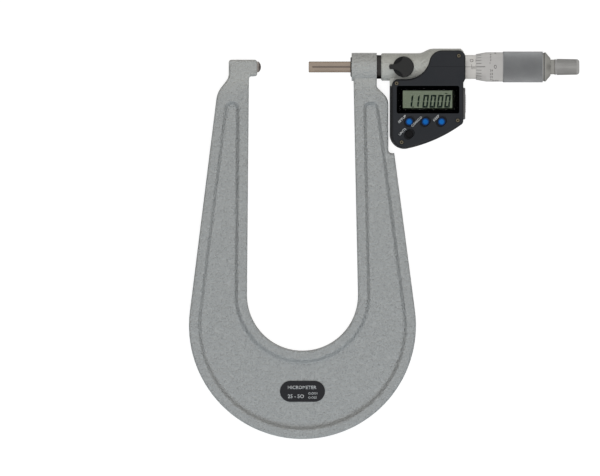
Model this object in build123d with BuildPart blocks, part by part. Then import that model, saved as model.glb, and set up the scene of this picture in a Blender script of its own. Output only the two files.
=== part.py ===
from build123d import *
import math
import os

# Digital outside micrometer with a deep U-frame, lying on its back
# X runs along the spindle away from the anvil, Y points out of the throat, Z towards the display's viewer
# The origin is the crown of the anvil tip, on the spindle axis; all lengths are millimetres

# Fits
running_fit = 0.03          # radial clearance of a turning or sliding shaft
seat_fit = 0.02             # radial clearance of a piece that is pressed or screwed in
free_gap = 0.3              # clearance between pieces that pass each other without touching

# Anvil
anvil_diameter = 6.3
anvil_reach = 2.2           # from the boss face to the crown of the tip
anvil_dome = 1.4            # height of the domed facing
anvil_seat = 11.0           # depth of the anvil in its boss
anvil_boss_length = 16.7
anvil_boss_above = 4.2      # top of the boss above the axis
anvil_boss_below = 5.5

# U-frame
frame_thickness = 10.0
bow_x = 24.3                # middle of the round end, along the spindle
bow_y = -151.5
bow_radius = 66.5
throat_y = -133.75
throat_radius = 32.5
anvil_boss_overhang = 4.87  # how far the anvil boss stands out over the throat
head_boss_overhang = 0.95   # the same on the right
rim_width = 5.3
web_recess = 3.0
web_slope = 34.0            # degrees that the recess wall leans
web_floor_radius = 1.2      # hollow round where that wall meets the floor
web_top = -20.3             # top of the round arches in both arms
web_arch_radius = 4.2
web_arch_land = 0.1         # least flat left at the top of a web arch
frame_edge_radius = 1.5
web_edge_radius = 0.9

# Shoulders of the U-frame
anvil_heel_y = -6.4         # where the anvil boss turns into the arm
anvil_heel_radius = 7.0
left_shoulder_y = -15.0
left_shoulder_width = 6.77  # how far the left arm steps out past its boss
left_shoulder_radius = 14.0
boss_corner_radius = 1.6
right_heel_y = -11.75
right_heel_radius = 2.0
right_shoulder_width = 6.8  # how far the right arm steps out past its boss
right_shoulder_radius = 8.5
relief_depth = 3.5          # how far the right arm's edge steps in beside the display box
relief_clearance = 2.5      # how far that relief reaches below the box
relief_radius = 2.0

# Nameplate
nameplate_length = 26.4
nameplate_height = 12.3
nameplate_thickness = 0.6
nameplate_chamfer = 0.2
nameplate_rise = 2.075      # above the middle of the bow's width

# Spindle
measuring_gap = 27.94       # reading shown on the display, 1.10000 in
travel_closing = 2.54       # how far the spindle can close from there
travel_opening = 22.86      # how far it can open
spindle_diameter = 6.35
facing_thickness = 0.8
facing_chamfer = 0.25
groove_width = 1.0
groove_depth = 0.6
groove_lead = 1.2           # plain length between the facing and the groove
thread_diameter = 7.6
thread_engaged = 11.1       # length of thread in the nut at full opening
spindle_seat_diameter = 6.5  # rear end that centres the thimble
spindle_overrun = 1.5       # how far the spindle's end stands out of the thimble's end wall

# Stem that joins the head to the frame
head_boss_left = 53.1
head_boss_length = 14.7
head_boss_diameter = 16.5
stem_diameter = 10.5
stem_flange_diameter = 13.9
stem_flange_length = 2.6
stem_spigot = 6.0           # length of the stem inside the head casting
stem_nut_diameter = 11.7
stem_nut_length = 3.0
stem_nut_proud = 0.65
stem_nut_chamfer = 0.45
stem_edge_chamfer = 0.25
stem_inset = 0.4            # how far the stem's mouth lies inside the nut
wiper_diameter = 8.6
wiper_length = 1.5

# Head casting
barrel_diameter = 16.1
encoder_diameter = 21.5
casting_length = 48.2
encoder_length = 17.2       # full-diameter stretch at the rear of the casting
encoder_rise_length = 10.0  # length of the curved rise from barrel to encoder diameter
encoder_chamfer = 1.6
barrel_chamfer = 0.6
cavity_diameter = 18.6
cavity_length = 19.1
saddle_depth = 11.2         # lower face of the casting below the axis
saddle_back = 9.0

# Display box
box_gap = 0.8               # clearance between the right arm and the box
box_end_gap = 0.1           # how far the box ends short of the casting
box_bottom = -48.0
box_back = -11.0
parting_z = 4.5
box_front = 12.0
box_corner_radius = 8.5
box_corner_turn = 12.0      # degrees that the bottom corner turns past level
box_lower_right_y = -33.0
box_lower_right_radius = 2.5
wall = 1.6
front_wall = 1.8
housing_edge_radius = 1.6
cover_lip = 1.2             # how far the cover stands in from the housing's left side
cover_rise = 0.5            # how far the cover stands in from the housing's lower side
cover_top = 9.6
cover_bevel = 1.0
cover_gap = 0.1             # clearance between the cover and the casting or sleeve under it
cover_shoulder_y = -7.2     # lower end of the curve round the lock lever
cover_shoulder_reach = 12.8  # where that curve starts and ends, from the lever's middle
cover_brow_reach = 16.66
cover_brow_radius = 7.5
cover_scoop_radius = 13.9
cover_corner_radius = 4.0
gland_reach = 1.1           # how far the cover stands out round the sleeve
gland_low = -7.0
gland_step = 2.4

# Display
window_y = -19.4
window_margin_left = 3.3    # from the cover's sides to the window
window_margin_right = 2.4
window_height = 15.6
window_corner = 1.5
window_bulge = 0.5          # how far the window's sides bow out
window_depth = 1.2
mask_thickness = 0.4
mask_corner = 0.3
lens_recess = 0.1
mask_border_side = 3.1      # printed border round the visible part of the display glass
mask_border_top = 2.2
glass_thickness = 1.1
display_margin = 0.8        # rim of the display glass behind the mask

# Buttons
button_diameter = 4.3
button_inset = 11.4         # first button from the box's left side
button_y = -32.15
lower_button_y = -39.45
button_proud = 0.15
button_travel = 0.5
pad_gap = 0.1               # clearance between a button pressed home and the pad
button_gap = 0.2            # play between a button's collar and the cover
button_flange = 0.45        # width of the collar that keeps a button in
button_flange_thickness = 0.8
dimple_length = 7.0
dimple_width = 5.1
dimple_depth = 1.0
dimple_slope = 15.0
dimple_turn = 45.0          # degrees that each dimple is turned
button_clearance = 0.12
button_crown_radius = 0.5

# Electronics
board_thickness = 1.0
board_z = 6.0
pad_margin = 0.6
board_post_inset_left = 4.8
board_post_inset_right = 9.5
board_post_y = -15.8
battery_diameter = 11.6
battery_thickness = 5.4
battery_chamfer = 0.3
battery_offset = 3.05       # right of the box's middle
battery_y = -25.0
cap_diameter = 14.0
cap_thickness = 1.2
cap_spigot_diameter = 12.8
cap_spigot_length = 0.8
coin_slot_length = 9.0
coin_slot_width = 1.5
coin_slot_depth = 0.7
contact_thickness = 0.3
contact_width = 3.0
seal_width = 0.8
seal_height = 0.6

# Port on the right side
port_y = -21.45
port_z = -1.0
port_length = 18.6
port_width = 8.4
port_thickness = 1.2
port_corner_radius = 2.1
port_chamfer = 0.4
port_opening_length = 12.6
port_opening_width = 4.6
port_opening_radius = 1.15
port_rib_count = 8
port_rib_pitch = 1.35
port_rib_width = 0.7
port_rib_height = 0.35
port_screw_inset = 1.6
port_screw_diameter = 0.9
port_screw_head_diameter = 1.8
port_screw_head_height = 0.6
connector_depth = 4.4
connector_socket_depth = 2.2
connector_wall = 0.8

# Screws
screw_head_diameter = 2.0
screw_head_height = 1.2
screw_shank_diameter = 1.5
screw_recess_diameter = 2.8
screw_sunk = 0.3
screw_drive = 1.1           # across the corners of the hexagon socket
screw_drive_depth = 0.6
screw_post_diameter = 4.6
screw_length = 11.0
top_screw_length = 4.2      # into the casting's encoder housing
top_screw_inset = 2.65      # from the box's right side
top_screw_y = 6.45
saddle_screw_inset = 4.0    # into the casting's saddle, from the box's left side
saddle_screw_y = -9.7
low_screw_inset = 6.95      # into the rear housing's posts
low_screw_rise = 3.8        # above the box's bottom
right_screw_inset = 3.3
right_screw_y = -31.4

# Lock lever
lever_inset = 8.0           # from the box's left side
lever_diameter = 12.2
lever_thickness = 3.2
lever_reach = 8.3
lever_tab_width = 2.8
lever_tab_radius = 0.7
lever_scoop_depth = 1.6
lever_scoop_radius = 5.35
lever_scoop_reach = 5.5     # middle of each scoop, from the lever's middle towards the tab
lever_scoop_offset = 7.0    # and to either side of the tab
lever_edge_chamfer = 0.5
lever_pad_height = 9.0      # top of the casting's pad under the lever
lever_pad_diameter = 10.8
clamp_diameter = 4.0
clamp_shoe_length = 1.2
lever_gap = 0.2

# Encoder
stator_thickness = 1.8
stator_bore = 7.2
rotor_gap = 0.8
rotor_thickness = 1.2
rotor_diameter = 17.6
rotor_hub_diameter = 10.4
key_width = 0.8
key_height = 0.45           # how deep the key reaches into the groove
key_root = 0.9              # how deep the key is let into the hub

# Sleeves and nut
sleeve_wall = 1.13
inner_flange_length = 5.1
nut_thread_length = 17.0
relief_bore = 8.4
split_count = 3             # cuts right across the end, which leave six tongues
split_width = 0.8
split_length = 12.0
adjusting_thread_step = 0.35  # step from the inner sleeve down to its end thread
adjusting_nut_step = 0.3    # how far the adjusting nut stays below the outer sleeve
adjusting_nut_length = 5.0
adjusting_nut_inset = 2.0
adjusting_notch_count = 4
adjusting_notch_diameter = 0.8
outer_sleeve_diameter = 14.0
sleeve_overlap = 1.4        # what the thimble's edge still covers of the sleeve at full opening
sleeve_wrench_hole = 1.5

# Thimble and ratchet
sleeve_shown = 7.3          # length of sleeve between the casting and the thimble
thimble_wall = 1.3
thimble_edge_wall = 0.2     # wall left at the bevelled edge
thimble_bevel_length = 6.1
thimble_plain_length = 9.7
thimble_gap = 0.3           # clearance of the thimble round the outer sleeve
thimble_end_wall = 3.0
end_wall_gap = 0.96         # clearance of the end wall from the inner sleeve at full closing
grip_rise = 0.5             # how far the grip stands above the thimble
grip_length = 23.4
grip_wall = 0.6
grip_chamfer = 0.35
cap_ring_drop = 0.1         # how far the cap's ring stays below the thimble
cap_ring_length = 1.9
cap_groove_depth = 0.3
cap_groove_width = 1.1
cap_cone_length = 2.6
cap_nose_diameter = 10.2
neck_diameter = 8.6
neck_length = 2.3
ratchet_axle_diameter = 4.0
ratchet_bolt_diameter = 3.0
ratchet_bolt_depth = 12.0
knob_diameter = 9.5
knob_end_diameter = 9.0
knob_length = 14.4
knob_gap = 0.2
knob_end_radius = 1.6
knob_flutes = 36
knob_flute_depth = 0.22
knob_flute_width = 0.3
knob_cavity_diameter = 7.6
knob_cavity_length = 8.0
knob_front_wall = 2.0
knob_rim_width = 0.5        # plain rim in front of the knob's groove
knob_groove_width = 0.7
knob_groove_depth = 0.5
pawl_thickness = 2.0
spring_width = 1.0
spring_thickness = 0.4
spring_dish = 0.8           # how far the spring's rim stands off its bore

# Places that follow from the sizes above
anvil_face = -anvil_reach
anvil_boss_left = anvil_face - anvil_boss_length
nameplate_y = (throat_y - throat_radius + bow_y - bow_radius) / 2 + nameplate_rise
half_thickness = frame_thickness / 2
throat_left = anvil_face - anvil_boss_overhang
throat_right = head_boss_left + head_boss_overhang
spindle_radius = spindle_diameter / 2
spindle_bore_radius = spindle_radius + running_fit
head_boss_right = head_boss_left + head_boss_length
right_arm_x = head_boss_right + right_shoulder_width
casting_left = head_boss_right + stem_flange_length
casting_right = casting_left + casting_length
box_left = right_arm_x + box_gap
box_right = casting_right - box_end_gap
box_middle = (box_left + box_right) / 2
relief_y = box_bottom - relief_clearance
lever_x = box_left + lever_inset
stem_right = casting_left + stem_spigot
nut_left = head_boss_left - stem_nut_proud
nut_right = nut_left + stem_nut_length
stem_left = nut_left + stem_inset
cavity_left = casting_right - cavity_length
inner_flange_left = casting_right - inner_flange_length
rotor_left = cavity_left + stator_thickness + rotor_gap
rotor_right = inner_flange_left - free_gap
inner_sleeve_diameter = outer_sleeve_diameter - 2 * (sleeve_wall + seat_fit)
adjusting_thread_diameter = inner_sleeve_diameter - 2 * adjusting_thread_step
adjusting_nut_diameter = outer_sleeve_diameter - 2 * adjusting_nut_step
thimble_bore = outer_sleeve_diameter + 2 * thimble_gap
thimble_edge_diameter = thimble_bore + 2 * thimble_edge_wall
thimble_diameter = thimble_bore + 2 * thimble_wall
grip_diameter = thimble_diameter + 2 * grip_rise
cap_ring_diameter = thimble_diameter - 2 * cap_ring_drop
thimble_start = casting_right + sleeve_shown
thimble_plain_left = thimble_start + thimble_bevel_length
grip_left = thimble_plain_left + thimble_plain_length
thimble_end = grip_left + grip_length
thimble_end_left = thimble_end - thimble_end_wall
cap_ring_right = thimble_end + cap_ring_length
cap_end = cap_ring_right + cap_cone_length
neck_end = cap_end + neck_length
knob_left = neck_end + knob_gap
knob_right = knob_left + knob_length
cavity_start = knob_left + knob_front_wall
axle_end = cavity_start + knob_cavity_length + pawl_thickness
inner_sleeve_right = thimble_end_left - travel_closing - end_wall_gap
nut_thread_left = inner_sleeve_right - nut_thread_length
outer_sleeve_right = thimble_start + travel_opening + sleeve_overlap
thread_left = inner_sleeve_right - thread_engaged - travel_opening
thread_right = thimble_end_left - free_gap
spindle_end = thimble_end + spindle_overrun
cover_left = box_left + cover_lip
cover_bottom = box_bottom + cover_rise
cover_shoulder_x = lever_x + cover_shoulder_reach
cover_brow_x = lever_x + cover_brow_reach
window_length = box_right - cover_left - window_margin_left - window_margin_right
window_x = (cover_left + window_margin_left + box_right - window_margin_right) / 2
glass_length = window_length - 2 * mask_border_side
glass_height = window_height - 2 * mask_border_top
gland_right = casting_right + gland_reach
mask_back = box_front - window_depth
lens_back = mask_back + mask_thickness
lens_front = box_front - lens_recess
front_wall_back = box_front - front_wall
panel_length = glass_length + 2 * display_margin
panel_height = glass_height + 2 * display_margin
port_face = box_right + port_thickness
lever_back = lever_pad_height + lever_gap
clamp_shoe_top = spindle_bore_radius + clamp_shoe_length
housing_top = -saddle_depth
screw_head_front = box_front - screw_sunk
board_front = board_z + board_thickness
battery_top = box_back + cap_thickness + cap_spigot_length + battery_thickness
port_screw_offset = port_length / 2 - port_screw_inset
top_screw = (box_right - top_screw_inset, top_screw_y)
saddle_screw = (box_left + saddle_screw_inset, saddle_screw_y)
low_screw = (box_left + low_screw_inset, box_bottom + low_screw_rise)
right_screw = (box_right - right_screw_inset, right_screw_y)
board_posts = [(box_left + board_post_inset_left, board_post_y),
               (box_right - board_post_inset_right, board_post_y)]
battery_x = box_middle + battery_offset
button_x = box_left + button_inset
button_pitch = (right_screw[0] - button_x) / 3  # the three buttons and the right screw are evenly spaced
button_back = front_wall_back - button_gap - button_flange_thickness
pad_front = button_back - button_travel - pad_gap
button_places = {
    "button_set": (button_x, button_y),
    "button_zero": (button_x + button_pitch, button_y),
    "button_hold": (button_x + 2 * button_pitch, button_y),
    "button_unit": (button_x, lower_button_y),
}

os.makedirs("parts", exist_ok=True)


def edge_lean(side, radius, centre_y, point):
    # Angle from upright of the straight edge that leaves an arc of the bow and runs through a point
    across = side * (point[0] - bow_x)
    along = point[1] - centre_y
    return math.atan2(along, across) - math.acos(radius / math.hypot(across, along))


def edge_x(side, radius, centre_y, lean, y):
    # X at height y on such an edge; side is -1 on the left, 1 on the right
    rise = y - centre_y - radius * math.sin(lean)
    return bow_x + side * (radius * math.cos(lean) - rise * math.tan(lean))


def arc_end(side, radius, centre_y, lean):
    # Point where that straight edge meets its arc
    return (bow_x + side * radius * math.cos(lean), centre_y + radius * math.sin(lean))


# Leans of the four edges of the U: outer left, outer right, inner left, inner right
lean_out_left = edge_lean(-1, bow_radius, bow_y, (anvil_boss_left - left_shoulder_width, left_shoulder_y))
lean_out_right = edge_lean(1, bow_radius, bow_y, (right_arm_x + relief_depth, relief_y))
lean_in_left = edge_lean(-1, throat_radius, throat_y, (throat_left, -anvil_boss_below))
lean_in_right = edge_lean(1, throat_radius, throat_y, (throat_right, 0))


def half_section(*corners):
    # Closed half-section of a turned piece, its corners given as (x, radius)
    with BuildSketch() as section:
        with BuildLine():
            Polyline(*corners, close=True)
        make_face()
    return section.sketch


def web_outline(height):
    # Recess of the web, one rim width in from the frame's edges
    outer = bow_radius - rim_width
    inner = throat_radius + rim_width
    tops = [
        (edge_x(-1, outer, bow_y, lean_out_left, web_top), web_top),
        (edge_x(-1, inner, throat_y, lean_in_left, web_top), web_top),
        (edge_x(1, inner, throat_y, lean_in_right, web_top), web_top),
        (edge_x(1, outer, bow_y, lean_out_right, web_top), web_top),
    ]
    with BuildSketch(Plane.XY.offset(height)) as web:
        with BuildLine():
            Polyline(arc_end(-1, outer, bow_y, lean_out_left), tops[0], tops[1],
                     arc_end(-1, inner, throat_y, lean_in_left))
            ThreePointArc(arc_end(-1, inner, throat_y, lean_in_left), (bow_x, throat_y - inner),
                          arc_end(1, inner, throat_y, lean_in_right))
            Polyline(arc_end(1, inner, throat_y, lean_in_right), tops[2], tops[3],
                     arc_end(1, outer, bow_y, lean_out_right))
            ThreePointArc(arc_end(1, outer, bow_y, lean_out_right), (bow_x, bow_y - outer),
                          arc_end(-1, outer, bow_y, lean_out_left))
        make_face()
        for left_top, right_top in (tops[:2], tops[2:]):
            arch_radius = min(web_arch_radius, (right_top[0] - left_top[0]) / 2 - web_arch_land)
            for corner in (left_top, right_top):
                fillet(web.vertices().sort_by_distance(corner)[0], arch_radius)
    return web.sketch


def box_outline(height, inset, top):
    # Lower outline of the display box, inset from its walls, up to a level edge
    turn = math.radians(box_corner_turn)
    radius = box_corner_radius - inset
    centre = (box_left + box_corner_radius, box_bottom + box_corner_radius)
    corner_end = (centre[0] + radius * math.sin(turn), centre[1] - radius * math.cos(turn))
    right = box_right - inset
    low_right = (right, box_lower_right_y + inset)
    with BuildSketch(Plane.XY.offset(height)) as outline:
        with BuildLine():
            Polyline(low_right, (right, top), (box_left + inset, top),
                     (box_left + inset, centre[1]))
            CenterArc(centre, radius, 180, 90 + box_corner_turn)
            TangentArc(corner_end, low_right, tangent=(math.cos(turn), math.sin(turn)))
        make_face()
        fillet(outline.vertices().sort_by_distance(low_right)[0], box_lower_right_radius)
    return outline.sketch


def casting_section(clearance):
    # Half-section of the casting's outside, from barrel to encoder diameter
    barrel = barrel_diameter / 2 + clearance
    full = encoder_diameter / 2 + clearance
    rise_end = casting_right - encoder_length
    rise_start = rise_end - encoder_rise_length
    rise_middle = (rise_start + rise_end) / 2
    with BuildSketch() as section:
        with BuildLine():
            Polyline((rise_start, barrel), (casting_left, barrel), (casting_left, 0), (casting_right, 0),
                     (casting_right, full), (rise_end, full))
            Bezier((rise_start, barrel), (rise_middle, barrel), (rise_middle, full), (rise_end, full))
        make_face()
    return section.sketch


def cover_outline(height):
    # Outline of the front cover: lower part of the box, gland round the sleeve, and the curve round the lever
    turn = math.radians(box_corner_turn)
    radius = box_corner_radius - cover_lip
    centre = (cover_left + radius, cover_bottom + radius)
    corner_end = (centre[0] + radius * math.sin(turn), centre[1] - radius * math.cos(turn))
    low_right = (box_right, box_lower_right_y + cover_rise)
    gland_foot = (box_right, gland_low - gland_step)
    gland_edge = (gland_right, gland_low)
    top_right = (gland_right, cover_top)
    brow = (cover_brow_x, cover_top)
    scoop = (cover_shoulder_x, cover_shoulder_y)
    top_left = (cover_left, cover_shoulder_y)
    with BuildSketch(Plane.XY.offset(height)) as outline:
        with BuildLine():
            Polyline(low_right, gland_foot, gland_edge, top_right, brow, scoop, top_left,
                     (cover_left, centre[1]))
            CenterArc(centre, radius, 180, 90 + box_corner_turn)
            TangentArc(corner_end, low_right, tangent=(math.cos(turn), math.sin(turn)))
        make_face()
        for corner, corner_radius in (
            (low_right, box_lower_right_radius),
            (gland_foot, gland_reach),
            (gland_edge, gland_reach),
            (top_right, cover_corner_radius),
            (brow, cover_brow_radius),
            (scoop, cover_scoop_radius),
            (top_left, cover_corner_radius),
        ):
            fillet(outline.vertices().sort_by_distance(corner)[0], corner_radius)
    return outline.sketch


def window_outline(height, clearance):
    # Window with rounded corners and sides that bow out
    half_length = window_length / 2 - clearance
    half_height = window_height / 2 - clearance
    left = window_x - half_length
    right = window_x + half_length
    top = window_y + half_height
    low = window_y - half_height
    with BuildSketch(Plane.XY.offset(height)) as outline:
        with BuildLine():
            Line((left + window_bulge, top), (right - window_bulge, top))
            ThreePointArc((right - window_bulge, top), (right, window_y), (right - window_bulge, low))
            Line((right - window_bulge, low), (left + window_bulge, low))
            ThreePointArc((left + window_bulge, low), (left, window_y), (left + window_bulge, top))
        make_face()
        fillet(outline.vertices(), window_corner)
    return outline.sketch


# Space that the web's recess takes out of one face, its walls leaning in
with BuildPart() as web_pocket:
    extrude(web_outline(half_thickness), amount=-web_recess, taper=web_slope)
    fillet(web_pocket.faces().sort_by(Axis.Z)[0].edges(), web_floor_radius)

# U-frame: one casting with a raised rim, a web recessed on both faces and a boss on each arm
with BuildPart() as u_frame:
    left_shoulder = (edge_x(-1, bow_radius, bow_y, lean_out_left, left_shoulder_y), left_shoulder_y)
    arm_root = (edge_x(-1, throat_radius, throat_y, lean_in_left, -anvil_boss_below), -anvil_boss_below)
    anvil_heel = (anvil_boss_left, anvil_heel_y)
    boss_top_left = (anvil_boss_left, anvil_boss_above)
    boss_top_right = (anvil_face, anvil_boss_above)
    boss_low_right = (anvil_face, -anvil_boss_below)
    right_heel = (head_boss_right, right_heel_y)
    right_shoulder = (right_arm_x, right_heel_y - right_shoulder_width)
    relief_corner = (right_arm_x, relief_y)
    relief_end = (edge_x(1, bow_radius, bow_y, lean_out_right, relief_y), relief_y)
    with BuildSketch() as frame_outline:
        with BuildLine():
            Polyline(arc_end(-1, bow_radius, bow_y, lean_out_left), left_shoulder, anvil_heel,
                     boss_top_left, boss_top_right, boss_low_right, arm_root,
                     arc_end(-1, throat_radius, throat_y, lean_in_left))
            ThreePointArc(arc_end(-1, throat_radius, throat_y, lean_in_left),
                          (bow_x, throat_y - throat_radius),
                          arc_end(1, throat_radius, throat_y, lean_in_right))
            Polyline(arc_end(1, throat_radius, throat_y, lean_in_right),
                     (edge_x(1, throat_radius, throat_y, lean_in_right, 0), 0), (head_boss_right, 0),
                     right_heel, right_shoulder, relief_corner, relief_end,
                     arc_end(1, bow_radius, bow_y, lean_out_right))
            ThreePointArc(arc_end(1, bow_radius, bow_y, lean_out_right), (bow_x, bow_y - bow_radius),
                          arc_end(-1, bow_radius, bow_y, lean_out_left))
        make_face()
        for corner, radius in (
            (left_shoulder, left_shoulder_radius),
            (anvil_heel, anvil_heel_radius),
            (boss_top_left, boss_corner_radius),
            (boss_top_right, boss_corner_radius),
            (boss_low_right, boss_corner_radius),
            (arm_root, boss_corner_radius),
            (right_heel, right_heel_radius),
            (right_shoulder, right_shoulder_radius),
            (relief_corner, relief_radius),
        ):
            fillet(frame_outline.vertices().sort_by_distance(corner)[0], radius)
    extrude(amount=half_thickness, both=True)
    fillet(u_frame.faces().filter_by(Axis.Z).edges(), frame_edge_radius)
    add(web_pocket.part, mode=Mode.SUBTRACT)
    mirror(web_pocket.part, about=Plane.XY, mode=Mode.SUBTRACT)
    level_faces = u_frame.faces().filter_by(Axis.Z).group_by(Axis.Z)
    rim_faces = level_faces[0] + level_faces[-1]
    fillet([face.inner_wires()[0].edges() for face in rim_faces], web_edge_radius)
    with BuildSketch(Plane.YZ.offset(head_boss_left)):
        Circle(head_boss_diameter / 2)
    extrude(amount=head_boss_length)
    with BuildSketch(Plane.YZ.offset(head_boss_left)):
        Circle(stem_diameter / 2 + seat_fit)
    extrude(amount=head_boss_length, mode=Mode.SUBTRACT)
    with BuildSketch(Plane.YZ.offset(head_boss_left)):
        Circle(stem_nut_diameter / 2 + seat_fit)
    extrude(amount=nut_right - head_boss_left, mode=Mode.SUBTRACT)
    with BuildSketch(Plane.YZ.offset(anvil_face)):
        Circle(anvil_diameter / 2 + seat_fit)
    extrude(amount=-anvil_seat, mode=Mode.SUBTRACT)
u_frame.part.label = "u_frame"
export_step(u_frame.part, "parts/u_frame.step")

# Anvil, pressed into the left boss up to the bottom of its bore
with BuildPart() as anvil:
    revolve(half_section((anvil_face - anvil_seat, 0), (anvil_face - anvil_seat, anvil_diameter / 2),
                         (-anvil_dome, anvil_diameter / 2), (-anvil_dome, 0)), axis=Axis.X)
    chamfer(anvil.edges().sort_by(Axis.X)[0], facing_chamfer)
anvil.part.label = "anvil"
export_step(anvil.part, "parts/anvil.step")

# Domed carbide facing of the anvil
with BuildPart() as anvil_tip:
    with BuildSketch():
        with BuildLine():
            dome_radius = (anvil_dome**2 + (anvil_diameter / 2) ** 2) / (2 * anvil_dome)
            half_rise = dome_radius * math.sin(math.acos(1 - anvil_dome / dome_radius) / 2)
            half_back = dome_radius - (dome_radius**2 - half_rise**2) ** 0.5
            ThreePointArc((-anvil_dome, anvil_diameter / 2), (-half_back, half_rise), (0, 0))
            Polyline((0, 0), (-anvil_dome, 0), (-anvil_dome, anvil_diameter / 2))
        make_face()
    revolve(axis=Axis.X)
anvil_tip.part.label = "anvil_tip"
export_step(anvil_tip.part, "parts/anvil_tip.step")

# Nameplate, a plain plate bonded to the floor of the web recess
with BuildPart() as nameplate:
    with BuildSketch(Plane.XY.offset(half_thickness - web_recess)):
        with Locations((bow_x, nameplate_y)):
            SlotOverall(nameplate_length, nameplate_height)
    extrude(amount=nameplate_thickness)
    chamfer(nameplate.faces().sort_by(Axis.Z)[-1].edges(), nameplate_chamfer)
nameplate.part.label = "nameplate"
export_step(nameplate.part, "parts/nameplate.step")

# Stem: a flanged bush through the right boss that carries the head and guides the spindle
with BuildPart() as stem_bush:
    stem_radius = stem_diameter / 2
    flange_radius = stem_flange_diameter / 2
    revolve(half_section((stem_left, spindle_bore_radius), (stem_left, stem_radius),
                         (head_boss_right, stem_radius), (head_boss_right, flange_radius),
                         (casting_left, flange_radius), (casting_left, stem_radius),
                         (stem_right, stem_radius), (stem_right, spindle_bore_radius)), axis=Axis.X)
    with BuildSketch(Plane.YZ.offset(stem_left)):
        Circle(wiper_diameter / 2)
    extrude(amount=wiper_length, mode=Mode.SUBTRACT)
    flange_faces = stem_bush.faces().filter_by(GeomType.CYLINDER).sort_by(Axis.Y)
    chamfer(flange_faces[-1].edges().filter_by(GeomType.CIRCLE), stem_edge_chamfer)
stem_bush.part.label = "stem_bush"
export_step(stem_bush.part, "parts/stem_bush.step")

# Ring nut that pulls the stem into the boss, sunk into a counterbore
with BuildPart() as stem_nut:
    with BuildSketch(Plane.YZ.offset(nut_left)):
        Circle(stem_nut_diameter / 2)
        Circle(stem_diameter / 2 + seat_fit, mode=Mode.SUBTRACT)
    extrude(amount=stem_nut_length)
    chamfer(stem_nut.edges().group_by(Axis.X)[0].sort_by(SortBy.RADIUS)[-1], stem_nut_chamfer)
stem_nut.part.label = "stem_nut"
export_step(stem_nut.part, "parts/stem_nut.step")

# Wiper seal in the mouth of the stem
with BuildPart() as wiper_seal:
    with BuildSketch(Plane.YZ.offset(stem_left)):
        Circle(wiper_diameter / 2 - seat_fit)
        Circle(spindle_bore_radius, mode=Mode.SUBTRACT)
    extrude(amount=wiper_length)
wiper_seal.part.label = "wiper_seal"
export_step(wiper_seal.part, "parts/wiper_seal.step")

# Head casting: a barrel that swells to the encoder housing, with a saddle for the display box below it
with BuildPart() as head_casting:
    revolve(casting_section(0), axis=Axis.X)
    chamfer(head_casting.edges().filter_by(GeomType.CIRCLE).group_by(Axis.X)[0], barrel_chamfer)
    chamfer(head_casting.edges().filter_by(GeomType.CIRCLE).group_by(Axis.X)[-1], encoder_chamfer)
    with BuildSketch(Plane.XY.offset(-saddle_back)):
        with Locations((box_middle, -saddle_depth / 2)):
            Rectangle(box_right - box_left, saddle_depth)
    extrude(amount=saddle_back + parting_z)
    with BuildSketch():
        with Locations((lever_x, 0)):
            Circle(lever_pad_diameter / 2)
    extrude(amount=lever_pad_height)
    with BuildSketch():
        with Locations((lever_x, 0)):
            Circle(clamp_diameter / 2 + running_fit)
    extrude(amount=lever_pad_height, mode=Mode.SUBTRACT)
    with BuildSketch(Plane.YZ.offset(casting_left)):
        Circle(spindle_bore_radius)
    extrude(amount=casting_length, mode=Mode.SUBTRACT)
    with BuildSketch(Plane.YZ.offset(casting_left)):
        Circle(stem_diameter / 2 + seat_fit)
    extrude(amount=stem_spigot, mode=Mode.SUBTRACT)
    with BuildSketch(Plane.YZ.offset(casting_right)):
        Circle(cavity_diameter / 2)
    extrude(amount=-cavity_length, mode=Mode.SUBTRACT)
    for place, length in ((top_screw, top_screw_length), (saddle_screw, screw_length)):
        with BuildSketch(Plane.XY.offset(screw_head_front - length)):
            with Locations(place):
                Circle(screw_shank_diameter / 2 + seat_fit)
        extrude(amount=length, mode=Mode.SUBTRACT)
head_casting.part.label = "head_casting"
export_step(head_casting.part, "parts/head_casting.step")

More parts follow.
